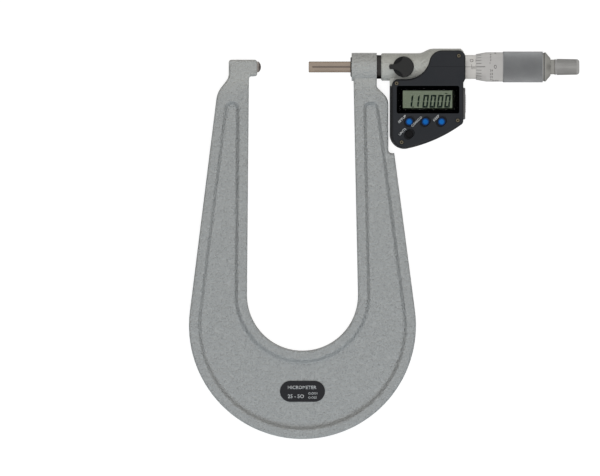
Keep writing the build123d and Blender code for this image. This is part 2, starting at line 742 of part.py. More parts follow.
# Rear housing: a moulded tray with a battery well, screw posts, board posts and the port's opening
with BuildPart() as rear_housing:
    tray_floor = box_back + wall
    extrude(box_outline(box_back, 0, housing_top), amount=parting_z - box_back)
    fillet(rear_housing.faces().sort_by(Axis.Z)[0].edges(), housing_edge_radius)
    extrude(box_outline(tray_floor, wall, housing_top - wall), amount=parting_z - tray_floor,
            mode=Mode.SUBTRACT)
    extrude(box_outline(parting_z - seal_height, seal_width, housing_top - seal_width), amount=seal_height,
            mode=Mode.SUBTRACT)
    with BuildSketch(Plane.XY.offset(tray_floor)):
        with Locations((battery_x, battery_y)):
            Circle(cap_spigot_diameter / 2 + wall)
    extrude(amount=battery_top - tray_floor)
    with BuildSketch(Plane.XY.offset(tray_floor)):
        with Locations(*board_posts):
            Circle(wall)
    extrude(amount=board_z - tray_floor)
    with BuildSketch(Plane.XY.offset(tray_floor)):
        with Locations(low_screw, right_screw):
            Circle(screw_post_diameter / 2)
    extrude(amount=parting_z - tray_floor)
    with BuildSketch(Plane.XY.offset(screw_head_front - screw_length)):
        with Locations(low_screw, right_screw):
            Circle(screw_shank_diameter / 2 + seat_fit)
    extrude(amount=screw_length, mode=Mode.SUBTRACT)
    with BuildSketch(Plane.XY.offset(box_back)):
        with Locations((battery_x, battery_y)):
            Circle(cap_spigot_diameter / 2 + seat_fit)
    extrude(amount=parting_z - box_back, mode=Mode.SUBTRACT)
    with BuildSketch(Plane.XY.offset(box_back)):
        with Locations((battery_x, battery_y)):
            Circle(cap_diameter / 2 + seat_fit)
    extrude(amount=cap_thickness, mode=Mode.SUBTRACT)
    with BuildSketch(Plane.YZ.offset(box_right)):
        with Locations((port_y, port_z)):
            RectangleRounded(port_opening_length, port_opening_width, port_opening_radius)
    extrude(amount=-wall, mode=Mode.SUBTRACT)
    for side in (-1, 1):
        with BuildSketch(Plane.YZ.offset(box_right)):
            with Locations((port_y + side * port_screw_offset, port_z)):
                Circle(port_screw_diameter / 2 + seat_fit)
        extrude(amount=-wall, mode=Mode.SUBTRACT)
rear_housing.part.label = "rear_housing"
export_step(rear_housing.part, "parts/rear_housing.step")

# Seal on the ledge between rear housing and front cover
with BuildPart() as housing_seal:
    seal_z = parting_z - seal_height
    seal_inset = seal_width + seat_fit
    extrude(box_outline(seal_z, seal_inset, housing_top - seal_inset), amount=seal_height)
    extrude(box_outline(seal_z, wall, housing_top - wall), amount=seal_height, mode=Mode.SUBTRACT)
    with BuildSketch(Plane.XY.offset(seal_z)):
        with Locations(low_screw, right_screw):
            Circle(screw_post_diameter / 2 + seat_fit)
    extrude(amount=seal_height, mode=Mode.SUBTRACT)
housing_seal.part.label = "housing_seal"
export_step(housing_seal.part, "parts/housing_seal.step")

# Front cover: a bevelled moulding over the electronics and the front of the encoder housing
with BuildPart() as front_cover:
    extrude(cover_outline(parting_z), amount=box_front - parting_z)
    chamfer(front_cover.faces().sort_by(Axis.Z)[-1].edges(), cover_bevel)
    extrude(box_outline(parting_z, cover_lip + wall, housing_top - wall), amount=front_wall_back - parting_z,
            mode=Mode.SUBTRACT)
    revolve(casting_section(cover_gap), axis=Axis.X, mode=Mode.SUBTRACT)
    with BuildSketch(Plane.YZ.offset(casting_right)):
        Circle(outer_sleeve_diameter / 2 + cover_gap)
    extrude(amount=gland_reach + cover_gap, mode=Mode.SUBTRACT)
    with BuildSketch(Plane.XY.offset(parting_z)):
        with Locations(low_screw, right_screw):
            Circle(screw_post_diameter / 2)
    extrude(amount=front_wall_back - parting_z)
    extrude(window_outline(box_front, 0), amount=-window_depth, mode=Mode.SUBTRACT)
    with BuildSketch(Plane.XY.offset(box_front)):
        with Locations((window_x, window_y)):
            Rectangle(panel_length + free_gap, panel_height + free_gap)
    extrude(amount=-front_wall, mode=Mode.SUBTRACT)
    with BuildSketch(Plane.XY.offset(box_front)):
        with Locations(*button_places.values()):
            SlotOverall(dimple_length, dimple_width, rotation=dimple_turn)
    extrude(amount=-dimple_depth, taper=dimple_slope, mode=Mode.SUBTRACT)
    with BuildSketch(Plane.XY.offset(box_front)):
        with Locations(*button_places.values()):
            Circle(button_diameter / 2 + button_clearance)
    extrude(amount=-front_wall, mode=Mode.SUBTRACT)
    with BuildSketch(Plane.XY.offset(box_front)):
        with Locations(top_screw, saddle_screw, low_screw, right_screw):
            Circle(screw_recess_diameter / 2)
    extrude(amount=-screw_sunk - screw_head_height, mode=Mode.SUBTRACT)
    with BuildSketch(Plane.XY.offset(box_front)):
        with Locations(top_screw, saddle_screw, low_screw, right_screw):
            Circle(screw_shank_diameter / 2 + seat_fit)
    extrude(amount=parting_z - box_front, mode=Mode.SUBTRACT)
front_cover.part.label = "front_cover"
export_step(front_cover.part, "parts/front_cover.step")

# Cover screws, four socket heads; the top one is short
with BuildPart() as cover_screws:
    for place, length in (
        (top_screw, top_screw_length),
        (saddle_screw, screw_length),
        (low_screw, screw_length),
        (right_screw, screw_length),
    ):
        with BuildSketch(Plane.XY.offset(screw_head_front)):
            with Locations(place):
                Circle(screw_head_diameter / 2)
        extrude(amount=-screw_head_height)
        with BuildSketch(Plane.XY.offset(screw_head_front)):
            with Locations(place):
                Circle(screw_shank_diameter / 2)
        extrude(amount=-length)
        with BuildSketch(Plane.XY.offset(screw_head_front)):
            with Locations(place):
                RegularPolygon(screw_drive / 2, 6)
        extrude(amount=-screw_drive_depth, mode=Mode.SUBTRACT)
cover_screws.part.label = "cover_screws"
export_step(cover_screws.part, "parts/cover_screws.step")

# Printed mask under the window
with BuildPart() as display_mask:
    extrude(window_outline(mask_back, seat_fit), amount=mask_thickness)
    with BuildSketch(Plane.XY.offset(mask_back)):
        with Locations((window_x, window_y)):
            RectangleRounded(glass_length, glass_height, mask_corner)
    extrude(amount=mask_thickness, mode=Mode.SUBTRACT)
display_mask.part.label = "display_mask"
export_step(display_mask.part, "parts/display_mask.step")

# Clear window
with BuildPart() as display_window:
    extrude(window_outline(lens_back, seat_fit), amount=lens_front - lens_back)
display_window.part.label = "display_window"
export_step(display_window.part, "parts/display_window.step")

# Display glass behind the mask
with BuildPart() as lcd_panel:
    with BuildSketch(Plane.XY.offset(mask_back - glass_thickness)):
        with Locations((window_x, window_y)):
            Rectangle(panel_length, panel_height)
    extrude(amount=glass_thickness)
lcd_panel.part.label = "lcd_panel"
export_step(lcd_panel.part, "parts/lcd_panel.step")

# Buttons, each with a collar under the cover that keeps it in
for name, place in button_places.items():
    with BuildPart() as button:
        with BuildSketch(Plane.XY.offset(button_back)):
            with Locations(place):
                Circle(button_diameter / 2 + button_flange)
        extrude(amount=button_flange_thickness)
        with BuildSketch(Plane.XY.offset(button_back)):
            with Locations(place):
                Circle(button_diameter / 2)
        extrude(amount=box_front + button_proud - button_back)
        fillet(button.faces().sort_by(Axis.Z)[-1].edges(), button_crown_radius)
    button.part.label = name
    export_step(button.part, f"parts/{name}.step")

# Rubber pad on the circuit board, under the buttons
with BuildPart() as button_pad:
    pad_reach = button_diameter / 2 + button_flange + pad_margin
    with BuildSketch(Plane.XY.offset(board_front)):
        with Locations((button_x + button_pitch, button_y)):
            RectangleRounded(2 * (button_pitch + pad_reach), 2 * pad_reach, pad_margin)
        with Locations((button_x, (button_y + lower_button_y) / 2)):
            RectangleRounded(2 * pad_reach, button_y - lower_button_y + 2 * pad_reach, pad_margin)
        with Locations(low_screw, right_screw):
            Circle(screw_post_diameter / 2 + free_gap, mode=Mode.SUBTRACT)
    extrude(amount=pad_front - board_front)
button_pad.part.label = "button_pad"
export_step(button_pad.part, "parts/button_pad.step")

# Circuit board on its posts, cut away round the screw posts
with BuildPart() as circuit_board:
    board_inset = cover_lip + wall + free_gap
    extrude(box_outline(board_z, board_inset, housing_top - wall - free_gap), amount=board_thickness)
    with BuildSketch(Plane.XY.offset(board_z)):
        with Locations(low_screw, right_screw):
            Circle(screw_post_diameter / 2 + free_gap)
    extrude(amount=board_thickness, mode=Mode.SUBTRACT)
circuit_board.part.label = "circuit_board"
export_step(circuit_board.part, "parts/circuit_board.step")

# Button cell
with BuildPart() as battery:
    with BuildSketch(Plane.XY.offset(battery_top - battery_thickness)):
        with Locations((battery_x, battery_y)):
            Circle(battery_diameter / 2)
    extrude(amount=battery_thickness)
    chamfer(battery.edges(), battery_chamfer)
battery.part.label = "battery"
export_step(battery.part, "parts/battery.step")

# Battery cap on the back, with a coin slot
with BuildPart() as battery_cap:
    with BuildSketch(Plane.XY.offset(box_back)):
        with Locations((battery_x, battery_y)):
            Circle(cap_diameter / 2)
    extrude(amount=cap_thickness)
    with BuildSketch(Plane.XY.offset(box_back + cap_thickness)):
        with Locations((battery_x, battery_y)):
            Circle(cap_spigot_diameter / 2)
    extrude(amount=cap_spigot_length)
    with BuildSketch(Plane.XY.offset(box_back)):
        with Locations((battery_x, battery_y)):
            SlotOverall(coin_slot_length, coin_slot_width)
    extrude(amount=coin_slot_depth, mode=Mode.SUBTRACT)
battery_cap.part.label = "battery_cap"
export_step(battery_cap.part, "parts/battery_cap.step")

# Contact strip from the cell's top to the circuit board
with BuildPart() as battery_contact:
    contact_right = battery_x + cap_spigot_diameter / 2 + wall
    with BuildSketch(Plane.XZ.offset(-battery_y)):
        with BuildLine():
            Polyline((battery_x, battery_top), (contact_right, battery_top), (contact_right, board_z),
                     (contact_right - contact_thickness, board_z),
                     (contact_right - contact_thickness, battery_top + contact_thickness),
                     (battery_x, battery_top + contact_thickness), close=True)
        make_face()
    extrude(amount=contact_width / 2, both=True)
battery_contact.part.label = "battery_contact"
export_step(battery_contact.part, "parts/battery_contact.step")

# Data connector against the inside of the right wall
with BuildPart() as data_connector:
    with BuildSketch(Plane.YZ.offset(box_right - wall)):
        with Locations((port_y, port_z)):
            Rectangle(port_opening_length + 2 * connector_wall, port_opening_width + 2 * connector_wall)
    extrude(amount=-connector_depth)
    with BuildSketch(Plane.YZ.offset(box_right - wall)):
        with Locations((port_y, port_z)):
            Rectangle(port_opening_length - 2 * connector_wall, port_opening_width - 2 * connector_wall)
    extrude(amount=-connector_socket_depth, mode=Mode.SUBTRACT)
data_connector.part.label = "data_connector"
export_step(data_connector.part, "parts/data_connector.step")

# Ribbed port cover, plugged into the opening and held by two screws
with BuildPart() as port_cover:
    with BuildSketch(Plane.YZ.offset(box_right)):
        with Locations((port_y, port_z)):
            RectangleRounded(port_length, port_width, port_corner_radius)
    extrude(amount=port_thickness)
    chamfer(port_cover.faces().sort_by(Axis.X)[-1].edges(), port_chamfer)
    with BuildSketch(Plane.YZ.offset(box_right)):
        with Locations((port_y, port_z)):
            RectangleRounded(port_opening_length - seat_fit, port_opening_width - seat_fit,
                             port_opening_radius)
    extrude(amount=-wall)
    with BuildSketch(Plane.YZ.offset(port_face)):
        with Locations((port_y, port_z)):
            with GridLocations(port_rib_pitch, 0, port_rib_count, 1):
                Rectangle(port_rib_width, port_opening_width)
    extrude(amount=port_rib_height)
    for side in (-1, 1):
        with BuildSketch(Plane.YZ.offset(port_face)):
            with Locations((port_y + side * port_screw_offset, port_z)):
                Circle(port_screw_head_diameter / 2 + seat_fit)
        extrude(amount=-port_screw_head_height, mode=Mode.SUBTRACT)
        with BuildSketch(Plane.YZ.offset(port_face)):
            with Locations((port_y + side * port_screw_offset, port_z)):
                Circle(port_screw_diameter / 2 + seat_fit)
        extrude(amount=-port_thickness, mode=Mode.SUBTRACT)
port_cover.part.label = "port_cover"
export_step(port_cover.part, "parts/port_cover.step")

# Port screws, sunk into the port cover's ends
with BuildPart() as port_screws:
    for side in (-1, 1):
        with BuildSketch(Plane.YZ.offset(port_face)):
            with Locations((port_y + side * port_screw_offset, port_z)):
                Circle(port_screw_head_diameter / 2)
        extrude(amount=-port_screw_head_height)
        with BuildSketch(Plane.YZ.offset(port_face)):
            with Locations((port_y + side * port_screw_offset, port_z)):
                Circle(port_screw_diameter / 2)
        extrude(amount=-port_thickness - wall)
port_screws.part.label = "port_screws"
export_step(port_screws.part, "parts/port_screws.step")

# Lock lever: a disc with a raised fan that narrows to the finger tab between two round scoops
with BuildPart() as lock_lever:
    with BuildSketch(Plane.XY.offset(lever_back)):
        with Locations((lever_x, 0)):
            Circle(lever_diameter / 2)
        with Locations((lever_x - lever_reach / 2, 0)):
            RectangleRounded(lever_reach, lever_tab_width, lever_tab_radius)
    extrude(amount=lever_thickness)
    chamfer(lock_lever.faces().sort_by(Axis.Z)[-1].edges(), lever_edge_chamfer)
    with BuildSketch(Plane.XY.offset(lever_back + lever_thickness)):
        with Locations((lever_x - lever_scoop_reach, -lever_scoop_offset),
                       (lever_x - lever_scoop_reach, lever_scoop_offset)):
            Circle(lever_scoop_radius)
    extrude(amount=-lever_scoop_depth, mode=Mode.SUBTRACT)
lock_lever.part.label = "lock_lever"
export_step(lock_lever.part, "parts/lock_lever.step")

# Clamp shaft that the lever turns
with BuildPart() as clamp_shaft:
    with BuildSketch(Plane.XY.offset(lever_back)):
        with Locations((lever_x, 0)):
            Circle(clamp_diameter / 2)
    extrude(amount=clamp_shoe_top + free_gap - lever_back)
clamp_shaft.part.label = "clamp_shaft"
export_step(clamp_shaft.part, "parts/clamp_shaft.step")

# Brass shoe between clamp shaft and spindle
with BuildPart() as clamp_shoe:
    with BuildSketch(Plane.XY.offset(spindle_bore_radius)):
        with Locations((lever_x, 0)):
            Circle(clamp_diameter / 2)
    extrude(amount=clamp_shoe_length)
clamp_shoe.part.label = "clamp_shoe"
export_step(clamp_shoe.part, "parts/clamp_shoe.step")

# Encoder stator, a ring pressed into the cavity
with BuildPart() as encoder_stator:
    with BuildSketch(Plane.YZ.offset(cavity_left)):
        Circle(cavity_diameter / 2 - seat_fit)
        Circle(stator_bore / 2, mode=Mode.SUBTRACT)
    extrude(amount=stator_thickness)
encoder_stator.part.label = "encoder_stator"
export_step(encoder_stator.part, "parts/encoder_stator.step")

# Encoder rotor: a disc on a hub whose key slides in the spindle's groove
with BuildPart() as encoder_rotor:
    with BuildSketch(Plane.YZ.offset(rotor_left)):
        Circle(rotor_diameter / 2)
    extrude(amount=rotor_thickness)
    with BuildSketch(Plane.YZ.offset(rotor_left)):
        Circle(rotor_hub_diameter / 2)
    extrude(amount=rotor_right - rotor_left)
    with BuildSketch(Plane.YZ.offset(rotor_left)):
        Circle(spindle_bore_radius)
    extrude(amount=rotor_right - rotor_left, mode=Mode.SUBTRACT)
    with BuildSketch(Plane.YZ.offset(rotor_left + rotor_thickness)):
        with Locations((0, spindle_radius + (key_root - key_height) / 2)):
            Rectangle(key_width, key_root + key_height)
    extrude(amount=rotor_right - rotor_left - rotor_thickness)
encoder_rotor.part.label = "encoder_rotor"
export_step(encoder_rotor.part, "parts/encoder_rotor.step")

# Spindle: measuring shaft with its keyway, thread, thimble seat and the hole for the ratchet bolt
with BuildPart() as spindle:
    shaft_left = measuring_gap + facing_thickness
    groove_left = shaft_left + groove_lead
    groove_right = rotor_right + travel_closing + groove_lead
    thread_radius = thread_diameter / 2
    seat_radius = spindle_seat_diameter / 2
    revolve(half_section((shaft_left, 0), (shaft_left, spindle_radius), (thread_left, spindle_radius),
                         (thread_left, thread_radius), (thread_right, thread_radius),
                         (thread_right, seat_radius), (spindle_end, seat_radius), (spindle_end, 0)),
            axis=Axis.X)
    with BuildSketch(Plane.XY.offset(spindle_radius)):
        with Locations(((groove_left + groove_right) / 2, 0)):
            SlotOverall(groove_right - groove_left, groove_width)
    extrude(amount=-groove_depth, mode=Mode.SUBTRACT)
    with BuildSketch(Plane.YZ.offset(spindle_end)):
        Circle(ratchet_bolt_diameter / 2 + seat_fit)
    extrude(amount=-ratchet_bolt_depth, mode=Mode.SUBTRACT)
spindle.part.label = "spindle"
export_step(spindle.part, "parts/spindle.step")

# Carbide facing of the spindle
with BuildPart() as spindle_tip:
    with BuildSketch(Plane.YZ.offset(measuring_gap)):
        Circle(spindle_radius)
    extrude(amount=facing_thickness)
    chamfer(spindle_tip.edges().sort_by(Axis.X)[0], facing_chamfer)
spindle_tip.part.label = "spindle_tip"
export_step(spindle_tip.part, "parts/spindle_tip.step")

# Inner sleeve: a flange in the casting, a plain tube, and the nut thread in a split end
with BuildPart() as inner_sleeve:
    tube_radius = inner_sleeve_diameter / 2
    adjusting_radius = adjusting_thread_diameter / 2
    nut_radius = thread_diameter / 2 + running_fit
    inner_flange_radius = cavity_diameter / 2 - seat_fit
    revolve(half_section((inner_flange_left, relief_bore / 2), (inner_flange_left, inner_flange_radius),
                         (casting_right, inner_flange_radius), (casting_right, tube_radius),
                         (outer_sleeve_right, tube_radius), (outer_sleeve_right, adjusting_radius),
                         (inner_sleeve_right, adjusting_radius), (inner_sleeve_right, nut_radius),
                         (nut_thread_left, nut_radius), (nut_thread_left, relief_bore / 2)), axis=Axis.X)
    with BuildSketch(Plane.YZ.offset(inner_sleeve_right)):
        for turn in range(split_count):
            Rectangle(inner_sleeve_diameter, split_width, rotation=180 / split_count * turn)
    extrude(amount=-split_length, mode=Mode.SUBTRACT)
inner_sleeve.part.label = "inner_sleeve"
export_step(inner_sleeve.part, "parts/inner_sleeve.step")

# Adjusting nut on the split end, with notches for its wrench
with BuildPart() as adjusting_nut:
    with BuildSketch(Plane.YZ.offset(inner_sleeve_right - adjusting_nut_inset)):
        Circle(adjusting_nut_diameter / 2)
        Circle(adjusting_thread_diameter / 2 + seat_fit, mode=Mode.SUBTRACT)
    extrude(amount=-adjusting_nut_length)
    with BuildSketch(Plane.YZ.offset(inner_sleeve_right - adjusting_nut_inset)):
        with PolarLocations(adjusting_nut_diameter / 2, adjusting_notch_count):
            Circle(adjusting_notch_diameter / 2)
    extrude(amount=-adjusting_nut_length, mode=Mode.SUBTRACT)
adjusting_nut.part.label = "adjusting_nut"
export_step(adjusting_nut.part, "parts/adjusting_nut.step")

# Outer sleeve that carries the main scale, with the wrench hole at its back
with BuildPart() as outer_sleeve:
    with BuildSketch(Plane.YZ.offset(casting_right)):
        Circle(outer_sleeve_diameter / 2)
        Circle(inner_sleeve_diameter / 2 + seat_fit, mode=Mode.SUBTRACT)
    extrude(amount=outer_sleeve_right - casting_right)
    with BuildSketch(Plane.XY):
        with Locations((casting_right + gland_reach + sleeve_wrench_hole, 0)):
            Circle(sleeve_wrench_hole / 2)
    extrude(amount=-outer_sleeve_diameter, mode=Mode.SUBTRACT)
outer_sleeve.part.label = "outer_sleeve"
export_step(outer_sleeve.part, "parts/outer_sleeve.step")

# Thimble: a bevelled tube with an end wall that seats on the spindle
with BuildPart() as thimble:
    thimble_radius = thimble_diameter / 2
    bore_radius = thimble_bore / 2
    grip_bore_radius = grip_diameter / 2 - grip_wall
    wall_bore_radius = spindle_seat_diameter / 2 + seat_fit
    revolve(half_section((thimble_start, bore_radius), (thimble_start, thimble_edge_diameter / 2),
                         (thimble_plain_left, thimble_radius), (grip_left, thimble_radius),
                         (grip_left, grip_bore_radius - seat_fit), (thimble_end, grip_bore_radius - seat_fit),
                         (thimble_end, wall_bore_radius), (thimble_end_left, wall_bore_radius),
                         (thimble_end_left, bore_radius)), axis=Axis.X)
thimble.part.label = "thimble"
export_step(thimble.part, "parts/thimble.step")

# Grip sleeve over the thimble
with BuildPart() as thimble_grip:
    with BuildSketch(Plane.YZ.offset(grip_left)):
        Circle(grip_diameter / 2)
        Circle(grip_bore_radius, mode=Mode.SUBTRACT)
    extrude(amount=grip_length)
    outer_rims = thimble_grip.edges().filter_by(GeomType.CIRCLE).sort_by(SortBy.RADIUS)[-2:]
    chamfer(outer_rims, grip_chamfer)
thimble_grip.part.label = "thimble_grip"
export_step(thimble_grip.part, "parts/thimble_grip.step")

# Cone that closes the thimble
with BuildPart() as thimble_cap:
    ring_radius = cap_ring_diameter / 2
    cap_bore_radius = spindle_seat_diameter / 2 + free_gap
    revolve(half_section((thimble_end, cap_bore_radius), (thimble_end, ring_radius - cap_groove_depth),
                         (thimble_end + cap_groove_width, ring_radius - cap_groove_depth),
                         (thimble_end + cap_groove_width, ring_radius), (cap_ring_right, ring_radius),
                         (cap_ring_right, ring_radius - cap_groove_depth), (cap_end, cap_nose_diameter / 2),
                         (cap_end, cap_bore_radius)), axis=Axis.X)
thimble_cap.part.label = "thimble_cap"
export_step(thimble_cap.part, "parts/thimble_cap.step")

# Ratchet bolt: its shank screws into the spindle, its collar is the neck, its end is the knob's axle
with BuildPart() as ratchet_bolt:
    shank_left = spindle_end - ratchet_bolt_depth
    shank_radius = ratchet_bolt_diameter / 2
    neck_radius = neck_diameter / 2
    axle_radius = ratchet_axle_diameter / 2
    revolve(half_section((shank_left, 0), (shank_left, shank_radius),
                         (cap_end, shank_radius), (cap_end, neck_radius), (neck_end, neck_radius),
                         (neck_end, axle_radius), (axle_end, axle_radius), (axle_end, 0)), axis=Axis.X)
ratchet_bolt.part.label = "ratchet_bolt"
export_step(ratchet_bolt.part, "parts/ratchet_bolt.step")

# Ratchet disc, keyed on the bolt inside the knob
with BuildPart() as ratchet_disc:
    with BuildSketch(Plane.YZ.offset(cavity_start + free_gap)):
        Circle(knob_cavity_diameter / 2 - free_gap)
        Circle(ratchet_axle_diameter / 2 + seat_fit, mode=Mode.SUBTRACT)
    extrude(amount=pawl_thickness)
ratchet_disc.part.label = "ratchet_disc"
export_step(ratchet_disc.part, "parts/ratchet_disc.step")

# Ratchet spring, a dished ring that the knob carries
with BuildPart() as ratchet_spring:
    spring_left = cavity_start + pawl_thickness + 2 * free_gap
    spring_radius = knob_cavity_diameter / 2 - seat_fit
    revolve(half_section((spring_left, spring_radius - spring_width),
                         (spring_left + spring_thickness, spring_radius - spring_width),
                         (spring_left + spring_dish + spring_thickness, spring_radius),
                         (spring_left + spring_dish, spring_radius)), axis=Axis.X)
ratchet_spring.part.label = "ratchet_spring"
export_step(ratchet_spring.part, "parts/ratchet_spring.step")

# One flute of the knob, a shallow groove that follows the knob's taper
with BuildPart() as flute:
    knob_slope = (knob_diameter - knob_end_diameter) / 2 / knob_length
    flute_floor = knob_diameter / 2 - knob_flute_depth
    flute_right = knob_right - knob_end_radius
    with BuildSketch():
        with BuildLine():
            Polyline((knob_left - free_gap, knob_diameter), (knob_left - free_gap, flute_floor),
                     (flute_right, flute_floor - knob_slope * knob_length), (flute_right, knob_diameter),
                     close=True)
        make_face()
    extrude(amount=knob_flute_width / 2, both=True)

# Ratchet knob: fluted, slightly tapered, hollow round the ratchet
with BuildPart() as ratchet_knob:
    knob_radius = knob_diameter / 2
    axle_bore_radius = ratchet_axle_diameter / 2 + running_fit
    revolve(half_section((knob_left, 0), (knob_left, knob_radius), (knob_right, knob_end_diameter / 2),
                         (knob_right, 0)), axis=Axis.X)
    fillet(ratchet_knob.edges().filter_by(GeomType.CIRCLE).sort_by(Axis.X)[-1], knob_end_radius)
    flutes = [flute.part.rotate(Axis.X, 360 / knob_flutes * turn) for turn in range(knob_flutes)]
    add(flutes, mode=Mode.SUBTRACT)
    with BuildSketch(Plane.YZ.offset(knob_left + knob_rim_width)):
        Circle(knob_radius + free_gap)
        Circle(knob_radius - knob_groove_depth, mode=Mode.SUBTRACT)
    extrude(amount=knob_groove_width, mode=Mode.SUBTRACT)
    revolve(half_section((knob_left, 0), (knob_left, axle_bore_radius), (cavity_start, axle_bore_radius),
                         (cavity_start, knob_cavity_diameter / 2),
                         (cavity_start + knob_cavity_length, knob_cavity_diameter / 2),
                         (cavity_start + knob_cavity_length, axle_bore_radius),
                         (axle_end + free_gap, axle_bore_radius), (axle_end + free_gap, 0)), axis=Axis.X,
            mode=Mode.SUBTRACT)
ratchet_knob.part.label = "ratchet_knob"
export_step(ratchet_knob.part, "parts/ratchet_knob.step")
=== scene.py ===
import bmesh
import bpy
import math
from mathutils import Matrix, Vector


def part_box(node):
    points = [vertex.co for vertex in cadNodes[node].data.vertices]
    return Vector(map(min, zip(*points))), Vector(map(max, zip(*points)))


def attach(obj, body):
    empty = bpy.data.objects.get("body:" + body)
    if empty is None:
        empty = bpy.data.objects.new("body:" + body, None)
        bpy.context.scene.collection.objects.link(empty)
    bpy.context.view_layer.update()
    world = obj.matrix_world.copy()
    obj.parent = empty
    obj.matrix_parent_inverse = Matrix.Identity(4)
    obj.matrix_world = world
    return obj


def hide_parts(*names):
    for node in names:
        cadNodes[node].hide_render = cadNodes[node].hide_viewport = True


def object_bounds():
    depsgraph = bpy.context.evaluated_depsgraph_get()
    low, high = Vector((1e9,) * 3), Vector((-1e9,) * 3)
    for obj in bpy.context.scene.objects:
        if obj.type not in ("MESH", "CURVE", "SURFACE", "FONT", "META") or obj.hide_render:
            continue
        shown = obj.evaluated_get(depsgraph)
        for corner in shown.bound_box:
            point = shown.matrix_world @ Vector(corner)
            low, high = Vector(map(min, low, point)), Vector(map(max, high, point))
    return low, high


# Digital outside micrometer with a deep U-frame, lying on its back, seen from straight above
# X runs along the spindle, Y out of the throat, Z towards the camera; the origin is the anvil's crown

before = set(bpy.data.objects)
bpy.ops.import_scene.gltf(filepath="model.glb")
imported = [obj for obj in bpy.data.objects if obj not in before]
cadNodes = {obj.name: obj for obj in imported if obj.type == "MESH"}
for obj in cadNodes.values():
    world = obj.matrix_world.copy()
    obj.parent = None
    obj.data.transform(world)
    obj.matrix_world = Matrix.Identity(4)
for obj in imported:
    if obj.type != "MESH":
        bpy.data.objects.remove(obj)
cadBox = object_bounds()
mm = 0.001
white = (1, 1, 1, 1)
print("frame loaded with", len(cadNodes), "nodes")


def newObject(name, data):
    item = bpy.data.objects.new(name, data)
    bpy.context.scene.collection.objects.link(item)
    return item


def rectangle(left, bottom, right, top):
    # Its corners, anticlockwise
    return [(left, bottom), (right, bottom), (right, top), (left, top)]


# Node tools, for shaders and for geometry alike

def setInputs(tree, node, inputs):
    # Links each input to an output, or sets it to a constant
    for label, value in inputs.items():
        if isinstance(value, bpy.types.NodeSocket):
            tree.links.new(value, node.inputs[label])
        else:
            node.inputs[label].default_value = value


def addNode(tree, kind, inputs, **settings):
    # The outputs of a new node with those settings and inputs
    node = tree.nodes.new(kind)
    for setting, value in settings.items():
        setattr(node, setting, value)
    setInputs(tree, node, inputs)
    return node.outputs


def mathNode(tree, operation, first, second, clamped=False):
    return addNode(tree, "ShaderNodeMath", {0: first, 1: second},
                   operation=operation, use_clamp=clamped)[0]


def vectorMathNode(tree, operation, first, second):
    outputs = addNode(tree, "ShaderNodeVectorMath", {0: first, 1: second}, operation=operation)
    return outputs["Value" if operation == "DISTANCE" else "Vector"]


def splitVector(tree, vector):
    return addNode(tree, "ShaderNodeSeparateXYZ", {0: vector})


def joinVector(tree, *parts):
    return addNode(tree, "ShaderNodeCombineXYZ", dict(enumerate(parts)))[0]


# Camera, floor and light

viewValues = {
    "mmPerPixel": 0.586,
    "originPixel": (261.0, 66.95),  # where the anvil's crown shows in the photograph
    "imagePixels": (600, 476),
    "distance": 10.0,  # far off, as the photograph hardly shows perspective
    "sensor": 36.0,
    "clipEnd": 100.0,
}

stageValues = {
    "floorSize": 60.0,
    "floorColor": (0.26, 0.26, 0.26),
    "floorRoughness": 0.9,
    "floorLift": 0.86,  # what camera, mirror and glass rays see on top of the lit floor
    "ambient": 0.13,
    "background": 1.0,
}

lampValues = {  # power is a share of the plain level, whatever the distance
    "overhead": {
        "place": (0.03, -0.09, 2.4), "size": (0.8, 0.8), "share": 0.51, "color": (1.0, 1.0, 1.0),
    },
    "lowerSoftbox": {
        "place": (0.1, -1.0, 0.8), "size": (0.7, 0.4), "share": 0.25, "color": (0.84, 0.94, 1.0),
    },
    "upperSoftbox": {
        "place": (0.1, 0.3, 0.36), "size": (0.5, 0.3), "share": 0.14, "color": (1.0, 0.93, 0.80),
    },
}


def makeCamera(values):
    width, height = values["imagePixels"]
    scale = values["mmPerPixel"] * mm
    cameraData = bpy.data.cameras.new("camera")
    cameraData.sensor_width = values["sensor"]
    cameraData.lens = values["sensor"] * values["distance"] / (width * scale)
    cameraData.clip_end = values["clipEnd"]
    camera = newObject("camera", cameraData)
    camera.location = (
        (width / 2 - values["originPixel"][0]) * scale,
        (values["originPixel"][1] - height / 2) * scale,
        values["distance"],
    )
    bpy.context.scene.camera = camera


def showsBackground(tree):
    # 1 for a ray that comes from the camera, a mirror or glass
    rays = tree.nodes.new("ShaderNodeLightPath").outputs
    direct = mathNode(tree, "MAXIMUM", rays["Is Camera Ray"], rays["Is Glossy Ray"])
    return mathNode(tree, "MAXIMUM", direct, rays["Is Transmission Ray"])


def makeFloor(values):
    half = values["floorSize"] / 2
    low = cadBox[0].z
    mesh = bpy.data.meshes.new("floor")
    corners = [(x, y, low) for x, y in rectangle(-half, -half, half, half)]
    mesh.from_pydata(corners, [], [(0, 1, 2, 3)])
    floor = newObject("floor", mesh)
    material = bpy.data.materials.new("floorPaper")
    material.use_nodes = True
    tree = material.node_tree
    shader = tree.nodes["Principled BSDF"]
    setInputs(tree, shader, {
        "Base Color": (*values["floorColor"], 1), "Roughness": values["floorRoughness"],
        "Specular IOR Level": 0.0, "Emission Color": white,
        "Emission Strength": mathNode(tree, "MULTIPLY", showsBackground(tree), values["floorLift"])})
    mesh.materials.append(material)


def makeWorld(values):
    world = bpy.data.worlds.new("studio")
    world.use_nodes = True
    tree = world.node_tree
    light = tree.nodes["Background"]
    paper = tree.nodes.new("ShaderNodeBackground")
    for node, strength in ((light, values["ambient"]), (paper, values["background"])):
        setInputs(tree, node, {"Color": white, "Strength": strength})
    mix = addNode(tree, "ShaderNodeMixShader", {
        0: showsBackground(tree), 1: light.outputs[0], 2: paper.outputs[0]})
    tree.links.new(mix[0], tree.nodes["World Output"].inputs["Surface"])
    bpy.context.scene.world = world


